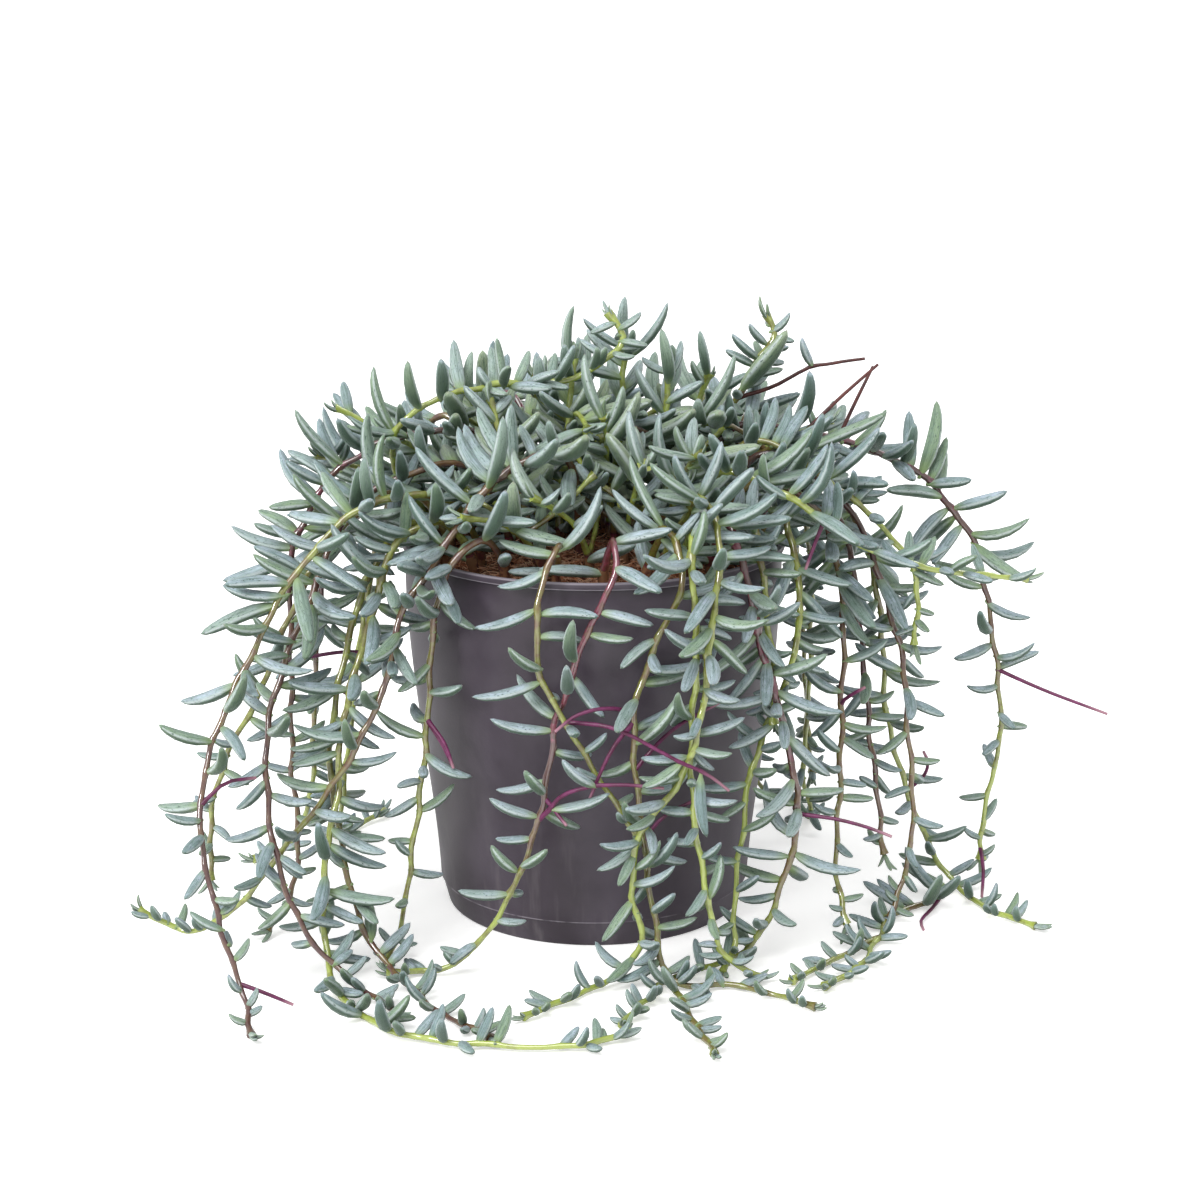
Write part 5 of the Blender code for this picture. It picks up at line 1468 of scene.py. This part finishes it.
def pot_plastic(group):
    """Thin purple-grey moulded plastic, satin, a little scuffed and dusty towards its foot, with painted lip
    and seam highlights and painted shadow under the lip.
    """
    material, shader, place = surface("pot_plastic", 0.42, Specular_IOR_Level=0.5)
    marks = patched(place, group, 22.0, 1300.0, 0.00005, 0.02)
    height = apart(place)[2]
    streaks = add(place.tree, "ShaderNodeMapping", place, Scale=(1.0, 1.0, 0.12))
    streak = noise(streaks, 130.0, 3.0, 0.6)
    broad = eased(noise(streaks, 28.0, 2.0), 0.35, 0.65)

    def rise(low, high):
        return eased(height, low * MM, high * MM)

    def ring(middle):
        return eased(maths("ABSOLUTE", height - middle * MM), 0.45 * MM, 0.15 * MM)

    # Painted highlights: thin light lines along the lip's top edge, the seam and the lip's lower edge
    rim = rise(POT_HEIGHT - 0.9, POT_HEIGHT - 0.2) * 0.7
    seam = ring(WALL_OUTLINE[-1][1]) * 0.6 * eased(streak, 0.3, 0.6)
    edges = maths("MAXIMUM", maths("MAXIMUM", rim, seam), ring(LIP_BOTTOM + 0.15) * 0.9)
    # Painted shadow: a darker band on the wall just under the lip
    lip_shadow = rise(LIP_BOTTOM - 6.0, LIP_BOTTOM - 0.5) * 0.7 * rise(LIP_BOTTOM, LIP_BOTTOM - 0.4)
    skin = layered(
        POT_DARK,
        (marks * 0.4 + broad * 0.6, POT_LIGHT),
        (eased(streak, 0.5, 0.75) * eased(height, 0.08, 0.0) * 0.35, POT_DUST),
        (marks["Flecks"] * 0.35, POT_DUST),
        (lip_shadow, POT_SHADED),
        (edges, POT_EDGE_HIGHLIGHT))
    feed(shader, {"Base Color": skin, "Roughness": marks * 0.12 + 0.36, "Normal": marks["Normal"]})
    return material


def coir(group, name, light, dark):
    """Damp brown coir soil, or its crumbs and fibres, in the two colours given."""
    material, shader, place = surface(name, 0.92, Specular_IOR_Level=0.25)
    marks = patched(place, group, 180.0, 900.0, 0.0006, 0.2)
    feed(shader, {"Base Color": layered(dark, (marks, light), (marks["Flecks"] * 0.6, COIR_FLECK)),
                  "Normal": marks["Normal"]})
    return material


# The pot and the soil


def revolved(name, outline, sides):
    """A solid turned from an outline of radius and height pairs."""
    points = [(radius, 0.0, height) for radius, height in outline]
    made = mesh_object(name, points, [], [(k, k + 1) for k in range(len(points) - 1)])
    spin = made.modifiers.new("Turn", "SCREW")
    spin.steps = spin.render_steps = sides
    spin.use_merge_vertices = True
    spin.merge_threshold = 0.00001
    return baked(made)


def baked(target):
    """The object with its modifiers applied to its mesh."""
    graph = bpy.context.evaluated_depsgraph_get()
    mesh = bpy.data.meshes.new_from_object(target.evaluated_get(graph))
    target.modifiers.clear()
    target.data = mesh
    return target


def inside_radius(height):
    """The inside radius of the pot's wall at this height."""
    radii, heights = zip((FOOT_RADIUS, 0.0), *WALL_OUTLINE[::-1])
    return float(np.interp(height, heights, radii)) - WALL_THICKNESS


def pot_outline():
    """Inside, rim, outside and base of the pot as radius and height pairs, close enough to look smooth."""
    radii, heights = zip(*WALL_OUTLINE[::-1])
    fit = np.polyfit(heights, radii, 3)
    outer = [(float(np.polyval(fit, rise)), rise) for rise in np.linspace(heights[0], heights[-1], 30)]
    inner = [(radius - WALL_THICKNESS, height) for radius, height in outer[:-1]]
    inside = TOP_RADIUS - WALL_THICKNESS
    rim = [(inside, POT_HEIGHT - 0.5), (inside + 0.4, POT_HEIGHT - 0.1), (inside + 0.8, POT_HEIGHT),
           (LIP_RADIUS - 0.5, POT_HEIGHT), (LIP_RADIUS - 0.15, POT_HEIGHT - 0.15),
           (LIP_RADIUS, POT_HEIGHT - 0.5), (LIP_RADIUS, LIP_BOTTOM + 0.5),
           (LIP_RADIUS - 0.2, LIP_BOTTOM + 0.1), (LIP_RADIUS - 0.5, LIP_BOTTOM),
           (TOP_RADIUS + 0.15, LIP_BOTTOM - 0.15)]
    seam_radius, seam_height = WALL_OUTLINE[-1]
    seam = [(seam_radius + 0.05, seam_height - 0.1), (seam_radius - SEAM_STEP, seam_height - 0.25),
            (seam_radius - SEAM_STEP - 0.1, seam_height - 1.0)]
    ring = FOOT_RADIUS - FOOT_RING_WIDTH
    foot = [(FOOT_RADIUS + 0.5, 1.4), (FOOT_RADIUS + 0.2, 0.4), (FOOT_RADIUS - 0.4, 0.0), (ring, 0.0),
            (ring - 1.0, RECESS_DEPTH), (CENTRE_DISC_RADIUS + 1.0, RECESS_DEPTH), (CENTRE_DISC_RADIUS, 0.0),
            (0.0, 0.0)]
    floor = [(0.0, FLOOR_TOP), (inside_radius(FLOOR_TOP), FLOOR_TOP)]
    return floor + inner + rim + outer[::-1] + seam + foot


def build_pot(plastic):
    """The pot in fine detail: smooth wall, rolled lip, seam, foot ring, drain holes, slight dents."""
    pot = revolved("nursery_pot", pot_outline(), FINE_POT_SIDES)
    cutters = bpy.data.collections.new("drain_drills")
    bpy.context.scene.collection.children.link(cutters)
    for k in range(DRAIN_HOLES):
        angle = 2 * math.pi * (k + 0.5) / DRAIN_HOLES
        x, y = DRAIN_CIRCLE * math.cos(angle), DRAIN_CIRCLE * math.sin(angle)
        top = FLOOR_TOP + 1.0
        drill = revolved("drill", [(0.0, top), (DRAIN_RADIUS, top), (DRAIN_RADIUS, -1.0), (0.0, -1.0)], 24)
        for vertex in drill.data.vertices:
            vertex.co.x += x * MM
            vertex.co.y += y * MM
        bpy.context.scene.collection.objects.unlink(drill)
        cutters.objects.link(drill)
    cut = pot.modifiers.new("Holes", "BOOLEAN")
    cut.operation = "DIFFERENCE"
    cut.operand_type = "COLLECTION"
    cut.collection = cutters
    cut.solver = "EXACT"
    baked(pot)
    for drill in list(cutters.objects):
        bpy.data.objects.remove(drill)
    bpy.data.collections.remove(cutters)
    for vertex in pot.data.vertices:
        x, y, z = vertex.co / MM
        angle = math.atan2(y, x)
        share = min(max((z - 12) / 60, 0), 1) * min(max((150 - z) / 30, 0), 1)
        wave = math.sin(3 * angle + 0.03 * z + 1.0) + 0.6 * math.sin(7 * angle - 0.05 * z)
        dent = DENT_DEPTH * share * wave
        reach = math.hypot(x, y)
        if reach > CENTRE_DISC_RADIUS + 10:
            vertex.co.x *= 1 + dent / reach
            vertex.co.y *= 1 + dent / reach
    return finished(pot, plastic, 40)


def finished(piece, material, angle):
    """The piece with its material, and smooth shading with its real edges kept."""
    piece.data.materials.clear()
    piece.data.materials.append(material)
    piece.data.shade_smooth()
    piece.data.set_sharp_from_angle(angle=math.radians(angle))
    return piece


def build_soil(ground):
    """The soil's lumpy top and its plain sides, closed."""
    edge = inside_radius(SOIL_EDGE_HEIGHT) - GAP
    outline = [(edge * share, SOIL_EDGE_HEIGHT) for share in np.linspace(0, 1, SOIL_RINGS_FINE)]
    outline += [(radius - WALL_THICKNESS - GAP, height) for radius, height in WALL_OUTLINE[1:-1]]
    outline += [(inside_radius(FLOOR_TOP) - GAP, FLOOR_TOP + GAP), (0.0, FLOOR_TOP + GAP)]
    soil = revolved("coir_soil", outline, FINE_SOIL_SIDES)
    rng = np.random.default_rng(SEED)
    waves = [(rng.normal(0, 1, 2) * 2 * math.pi / length, rng.uniform(0, 6.28), size)
             for length, size in SOIL_WAVES for _ in range(6)]
    for vertex in soil.data.vertices:
        x, y, z = vertex.co / MM
        if z > SOIL_EDGE_HEIGHT - 1:
            lump = sum(size * math.sin(step[0] * x + step[1] * y + start) for step, start, size in waves)
            calm = 1 - max(math.hypot(x, y) / edge - 0.94, 0) / 0.06
            vertex.co.z = (soil_height(x, y) + lump * calm) * MM
    return finished(soil, ground, 60)


def scatter_tree():
    """Nodes that scatter crumbs and bent fibres over the soil's top."""
    tree, given, result = new_tree("coir_scatter", "GeometryNodeTree", {
        "Geometry": "Geometry", "Crumb Density": 70000.0, "Fibre Density": 170000.0, "Crumb Size": 0.0009,
        "Fibre Length": 0.01, "Edge Radius": 0.07, "Seed": SEED, "Crumb Material": "Material",
        "Fibre Material": "Material"}, {"Geometry": "Geometry"})
    tree.is_modifier = True
    top = add(tree, "FunctionNodeCompare", apart(add(tree, "GeometryNodeInputNormal"))[2], 0.3,
              operation="GREATER_THAN")
    flat_place = vector_maths("MULTIPLY", add(tree, "GeometryNodeInputPosition"), (1.0, 1.0, 0.0))
    to_wall = given["Edge Radius"] - vector_maths("LENGTH", flat_place)["Value"]

    def spread(name, shape, smallest, largest, number, tilt, reach):
        points = add(tree, "GeometryNodeDistributePointsOnFaces", Mesh=given, Selection=top,
                     Density=given[name + " Density"], Seed=given["Seed"] + float(number))
        turn = add(tree, "FunctionNodeRandomValue", (-tilt, -tilt, 0.0), (tilt, tilt, 6.28), Seed=number + 1,
                   data_type="FLOAT_VECTOR")
        size = add(tree, "FunctionNodeRandomValue", None, None, smallest, largest, Seed=number + 2)[1]
        fitting = maths("MINIMUM", size, maths("DIVIDE", to_wall, reach))
        spin = add(tree, "FunctionNodeEulerToRotation", turn)
        laid = add(tree, "GeometryNodeInstanceOnPoints", points, Instance=shape, Rotation=spin,
                   Scale=maths("MAXIMUM", fitting, 0.1))
        real = add(tree, "GeometryNodeRealizeInstances", laid)
        return add(tree, "GeometryNodeSetMaterial", real, Material=given[name + " Material"])

    lump = add(tree, "GeometryNodeMeshIcoSphere", Radius=given["Crumb Size"], Subdivisions=1)
    rough = scaled(add(tree, "ShaderNodeTexNoise", Scale=900.0)[1], 0.0004)
    crumb = add(tree, "GeometryNodeSetPosition", lump, Offset=rough)
    crumbs = spread("Crumb", crumb, 0.4, 1.6, 10, 1.5, 0.0015)
    bend = add(tree, "GeometryNodeCurvePrimitiveBezierSegment", Resolution=5, Start=(-0.5, 0, 0),
               Start_Handle=(-0.2, 0.25, 0.12), End_Handle=(0.2, -0.2, 0.1), End=(0.5, 0.1, 0))
    long_bend = add(tree, "GeometryNodeTransform", Geometry=bend,
                    Scale=add(tree, "ShaderNodeCombineXYZ", *[given["Fibre Length"]] * 3))
    ring = add(tree, "GeometryNodeCurvePrimitiveCircle", Radius=0.0002, Resolution=3)
    strand = add(tree, "GeometryNodeCurveToMesh", long_bend, ring, Fill_Caps=True)
    fibres = spread("Fibre", strand, 0.3, 1.3, 20, 0.6, 0.0056)
    feed(result, {0: add(tree, "GeometryNodeRealizeInstances", joined(crumbs, fibres))})
    return tree


def build_litter(soil, crumb, fibre):
    """Crumbs and fibres over the soil, as one plain mesh."""
    source = shown("litter_ground", soil.data.copy())
    values = {"Crumb Material": crumb, "Fibre Material": fibre,
              "Edge Radius": (inside_radius(SOIL_EDGE_HEIGHT) - GAP) * MM}
    return made_plain(source, scatter_tree(), values, "coir_litter")


# Camera, light and floor


def set_stage():
    """A pale floor, soft light from above and the sides, and the camera at the photograph's angle."""
    floor = mesh_object("floor", FLOOR_CORNERS, [(0, 1, 2, 3)])
    material, shader, place = surface("floor_paper", 0.9, Specular_IOR_Level=0.1)
    paper = layered(FLOOR_COLOUR, (noise(place, 3.0), FLOOR_COLOUR_WARM))
    looked_at = add(material.node_tree, "ShaderNodeLightPath")["Is Camera Ray"]
    feed(shader, {"Base Color": paper, "Emission Color": paper, "Emission Strength": looked_at * FLOOR_GLOW})
    floor.data.materials.append(material)
    world = bpy.data.worlds.new("studio")
    world.use_nodes = True
    seen = add(world.node_tree, "ShaderNodeLightPath")["Is Camera Ray"]
    feed(world.node_tree.nodes["Background"].inputs,
         {"Color": (1.0, 1.0, 1.0), "Strength": seen * (1.0 - WORLD_LIGHT) + WORLD_LIGHT})
    bpy.context.scene.world = world
    for name, kind, power, measure, size, place, height in LAMPS:
        lamp = bpy.data.lights.new(name, kind)
        lamp.energy = power
        setattr(lamp, measure, size)
        made = shown(name, lamp)
        made.location = place
        made.rotation_euler = aim(*place, height)
    lens = bpy.data.cameras.new("camera")
    lens.lens = CAMERA_LENS
    lens.sensor_width = 36.0
    camera = shown("camera", lens)
    camera.location = CAMERA_PLACE
    camera.rotation_euler = (math.pi / 2 - CAMERA_TILT, 0.0, 0.0)
    bpy.context.scene.camera = camera
    bpy.context.scene.view_settings.view_transform = "Standard"


def aim(x, y, z, height):
    """The turn that points a lamp from its place at this height over the pot's middle."""
    return (math.atan2(math.hypot(x, y), z - height), 0.0, math.atan2(x, -y))


def main():
    """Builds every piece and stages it."""
    set_stage()
    group = patches_group()
    pot = build_pot(pot_plastic(group))
    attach(pot, "root")
    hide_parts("pot")
    soil = build_soil(coir(group, "coir_ground", COIR_LIGHT, COIR_DARK))
    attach(soil, "root")
    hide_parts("soil")
    litter = build_litter(soil, coir(group, "coir_crumb", COIR_CRUMB, COIR_DARK),
                          coir(group, "coir_fibre", COIR_FIBRE, COIR_CRUMB))
    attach(litter, "root")
    plants = grow_stems()
    leaves = grow_all_leaves(plants)
    rng = np.random.default_rng(SEED)
    tips = young_leaves(rng, plants)
    for name, route in EXTRA_STALKS:
        stalk = smooth_path(joined_route(plants[name], route))
        plants[name].append(("stalk", stalk, stem_radii(stalk, STALK_RADIUS, STALK_TIP_RADIUS)))
    tree = leafy_stem_tree()
    skins = {"Leaf Skin": leaf_skin(group), "Stem Skin": stem_skin(group), "Stalk Skin": stalk_skin(group)}
    for number, (name, parts) in enumerate(plants.items()):
        layout = layout_mesh(name, number, parts, leaves[name] + tips[name], rng)
        piece = made_plain(layout, tree, skins, name + "_growth")
        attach(piece, "root")
        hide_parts(name)


main()
